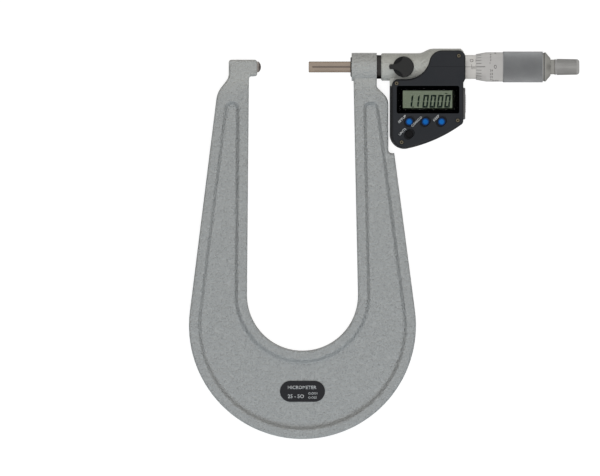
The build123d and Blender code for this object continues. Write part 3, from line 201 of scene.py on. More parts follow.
def makeLamps(lamps):
    # Each lamp adds its share to how brightly a level white surface shows
    target = (cadBox[0] + cadBox[1]) / 2
    for name, values in lamps.items():
        lampData = bpy.data.lights.new(name, "AREA")
        lampData.shape = "RECTANGLE"
        lampData.size, lampData.size_y = values["size"]
        lampData.color = values["color"]
        lamp = newObject(name, lampData)
        lamp.location = values["place"]
        away = lamp.location - target
        lampData.energy = values["share"] * math.pi ** 2 * away.length ** 3 / away.z
        lamp.rotation_euler = (target - lamp.location).to_track_quat("-Z", "Y").to_euler()
        lamp.visible_camera = False
        lamp.visible_glossy = False  # the steel mirrors the bright room, not the lamps
        lamp.visible_transmission = False


bpy.context.scene.view_settings.view_transform = "Standard"
makeCamera(viewValues)
makeFloor(stageValues)
makeWorld(stageValues)
makeLamps(lampValues)
print("camera, floor and lamps placed")


# Shader groups that several finishes share

textureValues = {
    "cellDetail": 1.5, "speckDetail": 2.0, "ringDetail": 2.0, "grainDetail": 3.0, "patchDetail": 3.0,
    "speckShare": 0.35,  # of the specks in the relief of hammered paint
    "cellLevels": (0.3, 0.7), "speckLevels": (0.5, 0.75), "cloudLevels": (0.25, 0.75),
    "patchLevels": (0.3, 0.7),
}


def newShaderGroup(name, inputs, outputs):
    # A group that reads a vector and other inputs, what it is given, and its end
    tree = bpy.data.node_groups.new(name, "ShaderNodeTree")
    tree.interface.new_socket(name="Vector", in_out="INPUT", socket_type="NodeSocketVector")
    for label, value in inputs.items():
        kind = "NodeSocketVector" if value is None else "NodeSocketFloat"
        socket = tree.interface.new_socket(name=label, in_out="INPUT", socket_type=kind)
        if value is not None:
            socket.default_value = value
    for label in outputs:
        tree.interface.new_socket(name=label, in_out="OUTPUT", socket_type="NodeSocketFloat")
    return tree, tree.nodes.new("NodeGroupInput").outputs, tree.nodes.new("NodeGroupOutput")


def noiseOf(tree, vector, size, detail, dimensions="3D"):
    # Noise whose grains are about that long, in metres
    place = "W" if dimensions == "1D" else "Vector"
    return addNode(tree, "ShaderNodeTexNoise", {
        place: vector, "Detail": detail, "Scale": mathNode(tree, "DIVIDE", 1.0, size)},
        noise_dimensions=dimensions)["Fac"]


def stretched(tree, value, levels, least=0.0, most=1.0, kind="SMOOTHSTEP"):
    # Value spread between two levels, from least to most
    return addNode(tree, "ShaderNodeMapRange", {
        "Value": value, "From Min": levels[0], "From Max": levels[1], "To Min": least, "To Max": most},
        interpolation_type=kind)["Result"]


def makeHammerGroup(values):
    # Flowed paint: soft cells with darker specks between them
    tree, given, end = newShaderGroup(
        "hammerPaint", {"Cell Size": 0.002, "Speck Size": 0.0006}, ["Height", "Speck", "Cloud"])
    cells = noiseOf(tree, given["Vector"], given["Cell Size"], values["cellDetail"])
    specks = noiseOf(tree, given["Vector"], given["Speck Size"], values["speckDetail"])
    blend = addNode(tree, "ShaderNodeMix", {
        "Factor": values["speckShare"], "A": stretched(tree, cells, values["cellLevels"]), "B": specks})
    setInputs(tree, end, {
        "Height": blend["Result"], "Speck": stretched(tree, specks, values["speckLevels"]),
        "Cloud": stretched(tree, cells, values["cloudLevels"])})
    return tree


def makeRingGroup(values):
    # Fine lines that a lathe or grinder leaves round the X axis
    tree, given, end = newShaderGroup("turnedRings", {"Pitch": 0.0001}, ["Height"])
    along = splitVector(tree, given["Vector"])["X"]
    setInputs(tree, end, {"Height": noiseOf(tree, along, given["Pitch"], values["ringDetail"], "1D")})
    return tree


def makeGrainGroup(values):
    # Spark-eroded mould grain, or the fine blast of satin chrome
    tree, given, end = newShaderGroup("fineGrain", {"Size": 0.0002}, ["Height"])
    setInputs(tree, end, {"Height": noiseOf(tree, given["Vector"], given["Size"], values["grainDetail"])})
    return tree


def makeHandlingGroup(values):
    # Broad patches where hands have left a surface a little duller
    tree, given, end = newShaderGroup(
        "handling", {"Size": 0.02, "Least": 0.3, "Most": 0.4}, ["Roughness", "Patch"])
    patches = noiseOf(tree, given["Vector"], given["Size"], values["patchDetail"])
    levels = values["patchLevels"]
    setInputs(tree, end, {
        "Roughness": stretched(tree, patches, levels, given["Least"], given["Most"], "LINEAR"),
        "Patch": stretched(tree, patches, levels)})
    return tree


def makeRecessGroup():
    # 1 below a height, 0 above it, with a soft step between; the mask for painted shade in recesses
    tree, given, end = newShaderGroup("recessShade", {"Height": 0.0, "Fade": 0.0002}, ["Mask"])
    below = mathNode(tree, "SUBTRACT", given["Height"], splitVector(tree, given["Vector"])["Z"])
    setInputs(tree, end, {"Mask": mathNode(tree, "DIVIDE", below, given["Fade"], clamped=True)})
    return tree


def makeKeywayGroup():
    # 1 inside a radius about the X axis, for painted shade on the floor of a groove along a shaft
    tree, given, end = newShaderGroup("keywayShade", {"Radius": 0.003}, ["Mask"])
    level = vectorMathNode(tree, "MULTIPLY", given["Vector"], (0, 1, 1))
    away = vectorMathNode(tree, "DISTANCE", level, (0, 0, 0))
    setInputs(tree, end, {"Mask": mathNode(tree, "LESS_THAN", away, given["Radius"])})
    return tree


def makeDiscGroup():
    # 1 outside a circle seen along Z, 0 inside it, with a soft step between; the mask for painted shade
    # round the buttons and painted highlight on the bosses
    tree, given, end = newShaderGroup(
        "discShade", {"Middle": None, "Radius": 0.002, "Fade": 0.0002}, ["Mask"])
    level = vectorMathNode(tree, "MULTIPLY", given["Vector"], (1, 1, 0))
    away = vectorMathNode(tree, "DISTANCE", level, given["Middle"])
    outside = mathNode(tree, "SUBTRACT", away, given["Radius"])
    setInputs(tree, end, {"Mask": mathNode(tree, "DIVIDE", outside, given["Fade"], clamped=True)})
    return tree


hammerGroup = makeHammerGroup(textureValues)
discGroup = makeDiscGroup()
recessGroup = makeRecessGroup()
keywayGroup = makeKeywayGroup()
ringGroup = makeRingGroup(textureValues)
grainGroup = makeGrainGroup(textureValues)
handlingGroup = makeHandlingGroup(textureValues)


# Finishes

patchSizes = {"paint": 0.03, "metal": 0.012, "plastic": 0.015, "window": 0.01}  # of handled patches
plasticIor = 1.5


def startFinish(name):
    material = bpy.data.materials.new(name)
    material.use_nodes = True
    tree = material.node_tree
    coordinates = tree.nodes.new("ShaderNodeTexCoord")
    return material, tree, tree.nodes["Principled BSDF"], coordinates.outputs["Object"]


def placeGroup(tree, group, vector, values):
    return addNode(tree, "ShaderNodeGroup", {"Vector": vector, **values}, node_tree=group)


def mixColors(tree, factor, first, second):
    # Two colours, or the output of an earlier mix as the first
    if isinstance(first, tuple):
        first = (*first, 1)
    return addNode(tree, "ShaderNodeMix", {"Factor": factor, "A": first, "B": (*second, 1)},
                   data_type="RGBA")["Result"]


def addBump(tree, shader, height, depth):
    # Relief of that depth, in metres
    bump = addNode(tree, "ShaderNodeBump", {"Distance": depth, "Height": height})
    tree.links.new(bump["Normal"], shader.inputs["Normal"])


def addHandling(tree, shader, vector, kind, gloss):
    # Roughness in broad patches; gives back where they are
    handled = placeGroup(tree, handlingGroup, vector, {
        "Size": patchSizes[kind], "Least": gloss[0], "Most": gloss[1]})
    tree.links.new(handled["Roughness"], shader.inputs["Roughness"])
    return handled["Patch"]


def recessTint(tree, vector, tint, values):
    # Painted shade: darkens what lies below the height that a finish names, where shade falls in recesses
    # and down bevels
    if "recess" not in values:
        return tint
    recess = placeGroup(tree, recessGroup, vector, {"Height": values["recess"], "Fade": values["fade"]})
    return mixColors(tree, recess["Mask"], tint, values["paintedShadeColor"])


def bossTint(tree, vector, tint, values):
    # Painted highlight: the frame shows paler on the bosses, far from the middle of the bow, for the
    # brighter light they catch
    low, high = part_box("u_frame")
    middle = ((low.x + high.x) / 2, low.y + values["bowReach"], 0)
    ends = placeGroup(tree, discGroup, vector, {
        "Middle": middle, "Radius": values["bossFrom"], "Fade": values["bossFade"]})
    share = mathNode(tree, "MULTIPLY", ends["Mask"], values["bossShare"])
    return mixColors(tree, share, tint, values["bossHighlightColor"])


def paintFinish(name, values):
    material, tree, shader, vector = startFinish(name)
    paint = placeGroup(tree, hammerGroup, vector, {
        "Cell Size": values["cell"], "Speck Size": values["speck"]})
    tint = mixColors(tree, paint["Cloud"], values["color"], values["cloudColor"])
    tint = mixColors(tree, paint["Speck"], tint, values["speckColor"])
    # painted highlight on the bosses
    if "bossHighlightColor" in values:
        tint = bossTint(tree, vector, tint, values)
    setInputs(tree, shader, {"Base Color": tint, "Specular IOR Level": values["specular"]})
    addHandling(tree, shader, vector, "paint", values["gloss"])
    addBump(tree, shader, paint["Height"], values["depth"])
    return material


def metalFinish(name, values):
    material, tree, shader, vector = startFinish(name)
    # The steel dims where it turns away
    setInputs(tree, shader, {"Metallic": 1.0, "Specular Tint": (*values["rimTint"], 1)})
    patch = addHandling(tree, shader, vector, "metal", values["gloss"])
    tint = mixColors(tree, patch, values["color"], values["patchColor"])
    # painted shade on the floor of a groove along a shaft
    if "keyway" in values:
        keyway = placeGroup(tree, keywayGroup, vector, {"Radius": values["keyway"]})
        tint = mixColors(tree, keyway["Mask"], tint, values["keywayShadeColor"])
    tree.links.new(recessTint(tree, vector, tint, values), shader.inputs["Base Color"])
    if values.get("rings"):
        lines = placeGroup(tree, ringGroup, vector, {"Pitch": values["grain"]})
    else:
        lines = placeGroup(tree, grainGroup, vector, {"Size": values["grain"]})
    addBump(tree, shader, lines["Height"], values["depth"])
    return material


def plasticFinish(name, values):
    material, tree, shader, vector = startFinish(name)
    patch = addHandling(tree, shader, vector, "plastic", values["gloss"])
    tint = mixColors(tree, patch, values["color"], values["patchColor"])
    tint = recessTint(tree, vector, tint, values)
    # painted shade: navy on the skirt outside a disc round the button's middle
    if "middle" in values:
        disc = placeGroup(tree, discGroup, vector, {
            "Middle": values["middle"], "Radius": values["disc"], "Fade": values["discFade"]})
        tint = mixColors(tree, disc["Mask"], tint, values["paintedShadeColor"])
    setInputs(tree, shader, {
        "Base Color": tint, "Specular IOR Level": values["specular"],
        "IOR": values.get("ior", plasticIor)})
    grain = placeGroup(tree, grainGroup, vector, {"Size": values["grain"]})
    addBump(tree, shader, grain["Height"], values["depth"])
    return material


def windowFinish(name, values):
    # Clear plastic that lets the room's and the lamps' light straight through to the display
    material, tree, shader, vector = startFinish(name)
    setInputs(tree, shader, {
        "Base Color": (*values["color"], 1), "Transmission Weight": 1.0, "IOR": values["ior"],
        "Specular IOR Level": values["specular"]})
    addHandling(tree, shader, vector, "window", values["gloss"])
    clear = addNode(tree, "ShaderNodeBsdfTransparent", {})
    rays = tree.nodes.new("ShaderNodeLightPath").outputs
    lighting = mathNode(tree, "MAXIMUM", rays["Is Shadow Ray"], rays["Is Diffuse Ray"])
    mix = addNode(tree, "ShaderNodeMixShader", {0: lighting, 1: shader.outputs[0], 2: clear[0]})
    tree.links.new(mix[0], tree.nodes["Material Output"].inputs["Surface"])
    return material


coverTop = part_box("front_cover")[1].z
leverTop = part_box("lock_lever")[1].z
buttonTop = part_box("button_set")[1].z
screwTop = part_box("cover_screws")[1].z
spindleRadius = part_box("spindle_tip")[1].z

paintValues = {
    "framePaint": {
        "color": (0.360, 0.369, 0.369), "cloudColor": (0.320, 0.329, 0.331),
        "speckColor": (0.252, 0.260, 0.262), "cell": 0.0014, "speck": 0.0008,
        "gloss": (0.32, 0.40), "specular": 0.4, "depth": 0.00062,
        # painted highlight on the bosses
        "bossHighlightColor": (0.42, 0.425, 0.41), "bossShare": 0.45, "bowReach": 66.7 * mm,
        "bossFrom": 140 * mm, "bossFade": 8 * mm,
    },
    "castingPaint": {
        "color": (0.445, 0.450, 0.423), "cloudColor": (0.410, 0.415, 0.390),
        "speckColor": (0.350, 0.353, 0.333), "cell": 0.0016, "speck": 0.0008,
        "gloss": (0.40, 0.48), "specular": 0.3, "depth": 0.00026,
    },
}

metalValues = {  # the grain is the pitch of the rings where a metal has rings
    "anvilSteel": {
        "color": (0.30, 0.27, 0.25), "patchColor": (0.26, 0.235, 0.22), "rimTint": (0.4, 0.4, 0.4),
        "gloss": (0.24, 0.32), "rings": True, "grain": 0.00012, "depth": 0.000002,
    },
    "carbide": {
        "color": (0.115, 0.100, 0.094), "patchColor": (0.10, 0.087, 0.082), "rimTint": (0.4, 0.4, 0.4),
        "gloss": (0.16, 0.24), "grain": 0.0001, "depth": 0.000001,
    },
    # painted shade along the floor of the spindle's groove
    "spindleSteel": {
        "color": (0.33, 0.272, 0.222), "patchColor": (0.295, 0.242, 0.200),
        "rimTint": (0.03, 0.03, 0.03), "gloss": (0.22, 0.30), "rings": True, "grain": 0.0001,
        "depth": 0.000002, "keyway": spindleRadius - 0.12 * mm, "keywayShadeColor": (0.17, 0.14, 0.12),
    },
    "satinChrome": {
        "color": (0.48, 0.47, 0.455), "patchColor": (0.45, 0.44, 0.43), "rimTint": (0.55, 0.55, 0.55),
        "gloss": (0.38, 0.46), "grain": 0.00009, "depth": 0.000004,
    },
    "sleeveChrome": {
        "color": (0.570, 0.555, 0.530), "patchColor": (0.540, 0.525, 0.505),
        "rimTint": (0.55, 0.55, 0.55), "gloss": (0.38, 0.46), "grain": 0.00009, "depth": 0.000004,
    },
    "knurlChrome": {
        "color": (0.345, 0.35, 0.355), "patchColor": (0.32, 0.325, 0.33), "rimTint": (0.1, 0.1, 0.1),
        "gloss": (0.5, 0.58), "grain": 0.0001, "depth": 0.000003,
    },
    "knobSteel": {
        "color": (0.35, 0.345, 0.335), "patchColor": (0.32, 0.315, 0.305), "rimTint": (0.4, 0.4, 0.4),
        "gloss": (0.36, 0.44), "grain": 0.00012, "depth": 0.000003,
    },
    "neckSteel": {
        "color": (0.30, 0.295, 0.275), "patchColor": (0.275, 0.27, 0.25), "rimTint": (0.4, 0.4, 0.4),
        "gloss": (0.42, 0.5), "rings": True, "grain": 0.00012, "depth": 0.000003,
    },
    "blackOxide": {
        "color": (0.040, 0.038, 0.037), "patchColor": (0.050, 0.048, 0.046), "rimTint": (0.3, 0.3, 0.3),
        "gloss": (0.34, 0.44), "rings": True, "grain": 0.00015, "depth": 0.000003,
    },
    # painted shade: dark in the screw's recess, below its top
    "screwBronze": {
        "color": (0.150, 0.130, 0.095), "patchColor": (0.180, 0.155, 0.110), "rimTint": (0.4, 0.4, 0.4),
        "gloss": (0.3, 0.4), "grain": 0.0001, "depth": 0.000003, "recess": screwTop - 0.12 * mm,
        "fade": 0.15 * mm, "paintedShadeColor": (0.008, 0.007, 0.006),
    },
    "brass": {
        "color": (0.52, 0.39, 0.17), "patchColor": (0.46, 0.34, 0.15), "rimTint": (0.8, 0.8, 0.8),
        "gloss": (0.26, 0.36), "rings": True, "grain": 0.00015, "depth": 0.000003,
    },
    "cellSteel": {
        "color": (0.52, 0.52, 0.51), "patchColor": (0.47, 0.47, 0.46), "rimTint": (0.8, 0.8, 0.8),
        "gloss": (0.2, 0.3), "grain": 0.0001, "depth": 0.000002,
    },
}

ink = {"gloss": (0.5, 0.6), "grain": 0.0002, "depth": 0.000002}
rubber = {"specular": 0.2, "gloss": (0.6, 0.7), "grain": 0.0003}

plasticValues = {
    "housingPlastic": {
        "color": (0.026, 0.027, 0.030), "patchColor": (0.030, 0.031, 0.034), "specular": 0.25,
        "gloss": (0.42, 0.5), "grain": 0.00016, "depth": 0.00001,
    },
    # painted shade: darker on the bevel, in the dimples and in the screw recesses, below the cover's top
    "coverPlastic": {
        "color": (0.0170, 0.0180, 0.0212), "patchColor": (0.0145, 0.0160, 0.0190), "specular": 0.2,
        "gloss": (0.42, 0.5), "grain": 0.00018, "depth": 0.000008, "recess": coverTop, "fade": 0.9 * mm,
        "paintedShadeColor": (0.006, 0.0065, 0.008),
    },
    "maskBlack": {
        "color": (0.0004, 0.0004, 0.0005), "patchColor": (0.0002, 0.0002, 0.0003), "specular": 0.0,
        "gloss": (0.5, 0.6), "grain": 0.0002, "depth": 0.000001, "ior": 1.0,
    },
    "displayGlass": {
        "color": (0.160, 0.186, 0.136), "patchColor": (0.145, 0.170, 0.124), "specular": 0.1,
        "gloss": (0.3, 0.36), "grain": 0.0003, "depth": 0.000001,
    },
    "digitBlack": {
        "color": (0.004, 0.009, 0.008), "patchColor": (0.005, 0.011, 0.009), "specular": 0.02,
        "gloss": (0.4, 0.5), "grain": 0.0002, "depth": 0.000001,
    },
    # painted shade below the button's top, hardly darker than the button itself
    "buttonBlack": {
        "color": (0.003, 0.003, 0.0035), "patchColor": (0.004, 0.004, 0.0045), "specular": 0.1,
        "gloss": (0.34, 0.42), "grain": 0.0002, "depth": 0.000004, "recess": buttonTop - 0.01 * mm,
        "fade": 0.08 * mm, "paintedShadeColor": (0.003, 0.003, 0.003),
    },
    "printWhite": {
        **ink, "color": (0.52, 0.53, 0.54), "patchColor": (0.48, 0.49, 0.50), "specular": 0.2,
    },
    "printBlack": {
        **ink, "color": (0.018, 0.016, 0.015), "patchColor": (0.026, 0.023, 0.021), "specular": 0.05,
    },
    "coverPrint": {
        **ink, "color": (0.008, 0.0085, 0.010), "patchColor": (0.010, 0.0105, 0.012), "specular": 0.1,
    },
    "plateBlack": {
        "color": (0.011, 0.011, 0.013), "patchColor": (0.014, 0.014, 0.016), "specular": 0.2,
        "gloss": (0.34, 0.42), "grain": 0.00025, "depth": 0.000005,
    },
    "portGrey": {
        "color": (0.160, 0.157, 0.157), "patchColor": (0.145, 0.142, 0.142), "specular": 0.3,
        "gloss": (0.4, 0.5), "grain": 0.0002, "depth": 0.000006,
    },
    # painted shade: darker in the scoops and down the sides, below the lever's top
    "leverBlack": {
        "color": (0.019, 0.019, 0.019), "patchColor": (0.0165, 0.0165, 0.0165), "specular": 0.2,
        "gloss": (0.40, 0.48), "grain": 0.0002, "depth": 0.000008, "recess": leverTop, "fade": 1.2 * mm,
        "paintedShadeColor": (0.003, 0.003, 0.0035),
    },
    "boardGreen": {
        "color": (0.012, 0.085, 0.035), "patchColor": (0.010, 0.070, 0.030), "specular": 0.4,
        "gloss": (0.3, 0.4), "grain": 0.0004, "depth": 0.000004,
    },
    "sealRubber": {
        **rubber, "color": (0.012, 0.012, 0.012), "patchColor": (0.016, 0.016, 0.016), "depth": 0.000008,
    },
    # painted shade in the deep seam between grip and cone
    "seamShadeGrey": {
        **rubber, "color": (0.11, 0.11, 0.11), "patchColor": (0.095, 0.095, 0.095), "depth": 0.000006,
    },
    "fibreRed": {
        **rubber, "color": (0.055, 0.032, 0.028), "patchColor": (0.045, 0.027, 0.024), "depth": 0.000006,
    },
    "padRubber": {
        "color": (0.16, 0.16, 0.16), "patchColor": (0.14, 0.14, 0.14), "specular": 0.3,
        "gloss": (0.6, 0.7), "grain": 0.0003, "depth": 0.000008,
    },
}

windowValues = {"color": (0.98, 0.99, 0.98), "gloss": (0.02, 0.05), "specular": 0.02, "ior": 1.08}

# painted shade: navy below the top and outside the bright disc in the middle
blueButtonValues = {
    "color": (0.005, 0.122, 0.43), "patchColor": (0.004, 0.110, 0.40), "specular": 0.15,
    "gloss": (0.3, 0.38), "grain": 0.0002, "depth": 0.000004, "recess": buttonTop - 0.02 * mm,
    "fade": 0.5 * mm, "paintedShadeColor": (0.005, 0.040, 0.150), "disc": 1.25 * mm, "discFade": 0.3 * mm,
}

blueButtons = {"button_set": "blueSetButton", "button_zero": "blueZeroButton",
               "button_hold": "blueHoldButton"}
for buttonName, finishName in blueButtons.items():  # each finish keeps its bright disc round its own middle, with painted shade outside it
    low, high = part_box(buttonName)
    middle = ((low.x + high.x) / 2, (low.y + high.y) / 2, 0)
    plasticValues[finishName] = {**blueButtonValues, "middle": middle}

finishes = {name: paintFinish(name, values) for name, values in paintValues.items()}
finishes.update({name: metalFinish(name, values) for name, values in metalValues.items()})
finishes.update({name: plasticFinish(name, values) for name, values in plasticValues.items()})
finishes["windowClear"] = windowFinish("windowClear", windowValues)
print("finishes made:", len(finishes))


# Finishes of the nodes that keep their own shape

nodeFinishes = {
    **blueButtons,
    "u_frame": "framePaint", "anvil": "anvilSteel", "anvil_tip": "carbide", "nameplate": "plateBlack",
    "stem_bush": "blackOxide", "stem_nut": "blackOxide", "wiper_seal": "sealRubber",
    "head_casting": "castingPaint", "rear_housing": "housingPlastic", "housing_seal": "sealRubber",
    "front_cover": "coverPlastic", "cover_screws": "screwBronze", "display_mask": "maskBlack",
    "display_window": "windowClear", "lcd_panel": "displayGlass", "button_unit": "buttonBlack",
    "button_pad": "padRubber", "circuit_board": "boardGreen", "battery": "cellSteel",
    "battery_cap": "housingPlastic", "battery_contact": "cellSteel", "data_connector": "sealRubber",
    "port_cover": "portGrey", "port_screws": "screwBronze", "lock_lever": "leverBlack",
    "clamp_shaft": "anvilSteel", "clamp_shoe": "brass", "encoder_stator": "boardGreen",
    "encoder_rotor": "brass", "spindle": "spindleSteel", "spindle_tip": "spindleSteel",
    "inner_sleeve": "anvilSteel", "adjusting_nut": "anvilSteel", "outer_sleeve": "sleeveChrome",
    "thimble": "satinChrome", "thimble_cap": "neckSteel", "ratchet_bolt": "neckSteel",
    "ratchet_disc": "anvilSteel", "ratchet_spring": "cellSteel", "ratchet_knob": "knobSteel",
}

for nodeName, finishName in nodeFinishes.items():
    for slot in cadNodes[nodeName].material_slots:
        slot.material = finishes[finishName]


# Mesh tools

weldReach = 1e-7  # corners nearer than this are one
letterCurveSteps = 3


def addPiece(name, mesh, finish, body):
    # A finished piece that rides on a body of the frame
    mesh.materials.clear()
    mesh.materials.append(finishes[finish])
    piece = newObject(name, mesh)
    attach(piece, body)
    return piece


def joinMeshes(name, meshes):
    merged = bmesh.new()
    for mesh in meshes:
        merged.from_mesh(mesh)
        bpy.data.meshes.remove(mesh)
    joined = bpy.data.meshes.new(name)
    merged.to_mesh(joined)
    merged.free()
    return joined


def bakedMesh(holder):
    # Plain mesh of what an object shows; the object itself goes
    bpy.context.view_layer.update()
    shown = holder.evaluated_get(bpy.context.evaluated_depsgraph_get())
    mesh = bpy.data.meshes.new_from_object(shown)
    bpy.data.objects.remove(holder)
    return mesh


def reachOf(vertices, axis):
    # Lowest and highest place along an axis
    places = [vertex.co[axis] for vertex in vertices]
    return min(places), max(places)


def textMesh(text, height, thickness, weight=0.0):
    # Flat lettering centred on the origin, as tall as its capitals, standing up by its thickness
    curve = bpy.data.curves.new("lettering", "FONT")
    curve.body = text.replace("0", "O")  # the font's own zero is crossed
    curve.align_x = "CENTER"
    curve.resolution_u = letterCurveSteps
    curve.offset = weight  # fattens the strokes, as a share of the letters' size
    mesh = bakedMesh(newObject("lettering", curve))
    bpy.data.curves.remove(curve)
    left, right = reachOf(mesh.vertices, 0)
    low, high = reachOf(mesh.vertices, 1)
    mesh.transform(Matrix.Translation((-(left + right) / 2, -(low + high) / 2, 0)))
    mesh.transform(Matrix.Scale(height / (high - low), 4))
    thicken(mesh, thickness)
    return mesh


def thicken(mesh, thickness):
    # Gives flat faces that look up a closed body of that thickness
    shape = bmesh.new()
    shape.from_mesh(mesh)
    bmesh.ops.remove_doubles(shape, verts=shape.verts, dist=weldReach)
    faces = list(shape.faces)
    raised = bmesh.ops.extrude_face_region(shape, geom=faces, use_keep_orig=True)
    bmesh.ops.translate(shape, vec=(0, 0, thickness),
                        verts=[item for item in raised["geom"] if isinstance(item, bmesh.types.BMVert)])
    bmesh.ops.recalc_face_normals(shape, faces=shape.faces)
    shape.to_mesh(mesh)
    shape.free()


def widthOf(mesh):
    left, right = reachOf(mesh.vertices, 0)
    return right - left


def wrapRound(mesh, radius, stride):
    # Bends a flat mesh round the X axis, its Y running round and its Z outwards from that radius
    shape = bmesh.new()
    shape.from_mesh(mesh)
    low, high = reachOf(shape.verts, 1)
    # Cuts across it first, so that it can bend
    for step in range(math.floor(low / stride) + 1, math.ceil(high / stride)):
        bmesh.ops.bisect_plane(shape, geom=shape.verts[:] + shape.edges[:] + shape.faces[:],
                               plane_co=(0, step * stride, 0), plane_no=(0, 1, 0))
    for vertex in shape.verts:
        angle = vertex.co.y / radius
        reach = radius + vertex.co.z
        vertex.co = (vertex.co.x, reach * math.sin(angle), reach * math.cos(angle))
    shape.to_mesh(mesh)
    shape.free()
    return mesh


def turnedMesh(name, corners, steps):
    # Closed ring turned about the X axis from corners given as (x, radius)
    shape = bmesh.new()
    rings = []
    for x, radius in corners:
        ring = []
        for step in range(steps):
            angle = 2 * math.pi * step / steps
            ring.append(shape.verts.new((x, radius * math.sin(angle), radius * math.cos(angle))))
        rings.append(ring)
    for ring, following in zip(rings, rings[1:] + rings[:1]):
        for step in range(steps):
            after = (step + 1) % steps
            shape.faces.new((ring[step], ring[after], following[after], following[step]))
    bmesh.ops.recalc_face_normals(shape, faces=shape.faces)
    mesh = bpy.data.meshes.new(name)
    shape.to_mesh(mesh)
    shape.free()
    return mesh


def turnedBand(name, left, right, bottom, top, steps):
    # Turned ring with a plain four-sided section
    return turnedMesh(name, [(left, bottom), (left, top), (right, top), (right, bottom)], steps)


# Geometry Nodes tools

def newTree(name, inputs):
    tree = bpy.data.node_groups.new(name, "GeometryNodeTree")
    for label, kind in inputs.items():
        tree.interface.new_socket(name=label, in_out="INPUT", socket_type="NodeSocket" + kind)
    tree.interface.new_socket(name="Geometry", in_out="OUTPUT", socket_type="NodeSocketGeometry")
    return tree, tree.nodes.new("NodeGroupInput").outputs, tree.nodes.new("NodeGroupOutput")


def moved(tree, geometry, offset):
    return addNode(tree, "GeometryNodeTransform", {
        "Geometry": geometry, "Translation": offset})["Geometry"]


def copiesOn(tree, points, instance, size):
    # Real copies of a shape on every point
    copies = addNode(tree, "GeometryNodeInstanceOnPoints", {
        "Points": points, "Instance": instance, "Scale": size})
    return addNode(tree, "GeometryNodeRealizeInstances", {"Geometry": copies["Instances"]})["Geometry"]


def wrapInTree(tree, geometry, radius, slope, startX):
    # The same bend as wrapRound, with a radius that may rise along X
    flat = splitVector(tree, addNode(tree, "GeometryNodeInputPosition", {})[0])
    angle = mathNode(tree, "DIVIDE", flat["Y"], radius)
    rise = mathNode(tree, "MULTIPLY", flat["X"], slope)
    reach = mathNode(tree, "ADD", mathNode(tree, "ADD", radius, rise), flat["Z"])
    across = mathNode(tree, "MULTIPLY", reach, mathNode(tree, "SINE", angle, 0))
    outwards = mathNode(tree, "MULTIPLY", reach, mathNode(tree, "COSINE", angle, 0))
    bent = joinVector(tree, mathNode(tree, "ADD", flat["X"], startX), across, outwards)
    return addNode(tree, "GeometryNodeSetPosition", {"Geometry": geometry, "Position": bent})["Geometry"]


def endTree(tree, geometry, material, end):
    paint = addNode(tree, "GeometryNodeSetMaterial", {"Geometry": geometry, "Material": material})
    tree.links.new(paint["Geometry"], end.inputs["Geometry"])


def growMesh(name, tree, values):
    # Evaluates a tree on an empty object and keeps the result as a plain mesh
    holder = newObject(name, bpy.data.meshes.new(name))
    modifier = holder.modifiers.new(name, "NODES")
    modifier.node_group = tree
    for item in tree.interface.items_tree:
        if item.in_out == "INPUT" and item.name in values:
            modifier[item.identifier] = values[item.name]
    return bakedMesh(holder)


markCube = {"Size": (1, 1, 1), "Vertices X": 3, "Vertices Y": 9, "Vertices Z": 2}  # follows the round
knurlPoint = {"Vertices": 4, "Radius Bottom": 1.0, "Radius Top": 0.0, "Depth": 1.0}
noLongMarks = {"Long Every": 1000, "Long Scale": (1, 1, 1)}  # more than any scale has


def makeMarkTree():
    # A row of printed marks, every so many of them longer, wrapped round a turned piece
    tree, given, end = newTree("scaleMarks", {
        "Count": "Int", "Step": "Vector", "Size": "Vector", "Anchor": "Vector",
        "Long Every": "Int", "Long Scale": "Vector",
        "Radius": "Float", "Slope": "Float", "Start X": "Float", "Ink": "Material"})
    row = addNode(tree, "GeometryNodeMeshLine", {"Count": given["Count"], "Offset": given["Step"]})
    mark = addNode(tree, "GeometryNodeMeshCube", markCube)
    index = addNode(tree, "GeometryNodeInputIndex", {})
    beat = mathNode(tree, "MODULO", index[0], given["Long Every"])
    longer = addNode(tree, "ShaderNodeMix", {
        "Factor": mathNode(tree, "LESS_THAN", beat, 0.5), "A": (1, 1, 1), "B": given["Long Scale"]},
        data_type="VECTOR")
    size = vectorMathNode(tree, "MULTIPLY", given["Size"], longer["Result"])
    marks = copiesOn(tree, row["Mesh"], moved(tree, mark["Mesh"], given["Anchor"]), size)
    wrapped = wrapInTree(tree, marks, given["Radius"], given["Slope"], given["Start X"])
    endTree(tree, wrapped, given["Ink"], end)
    return tree


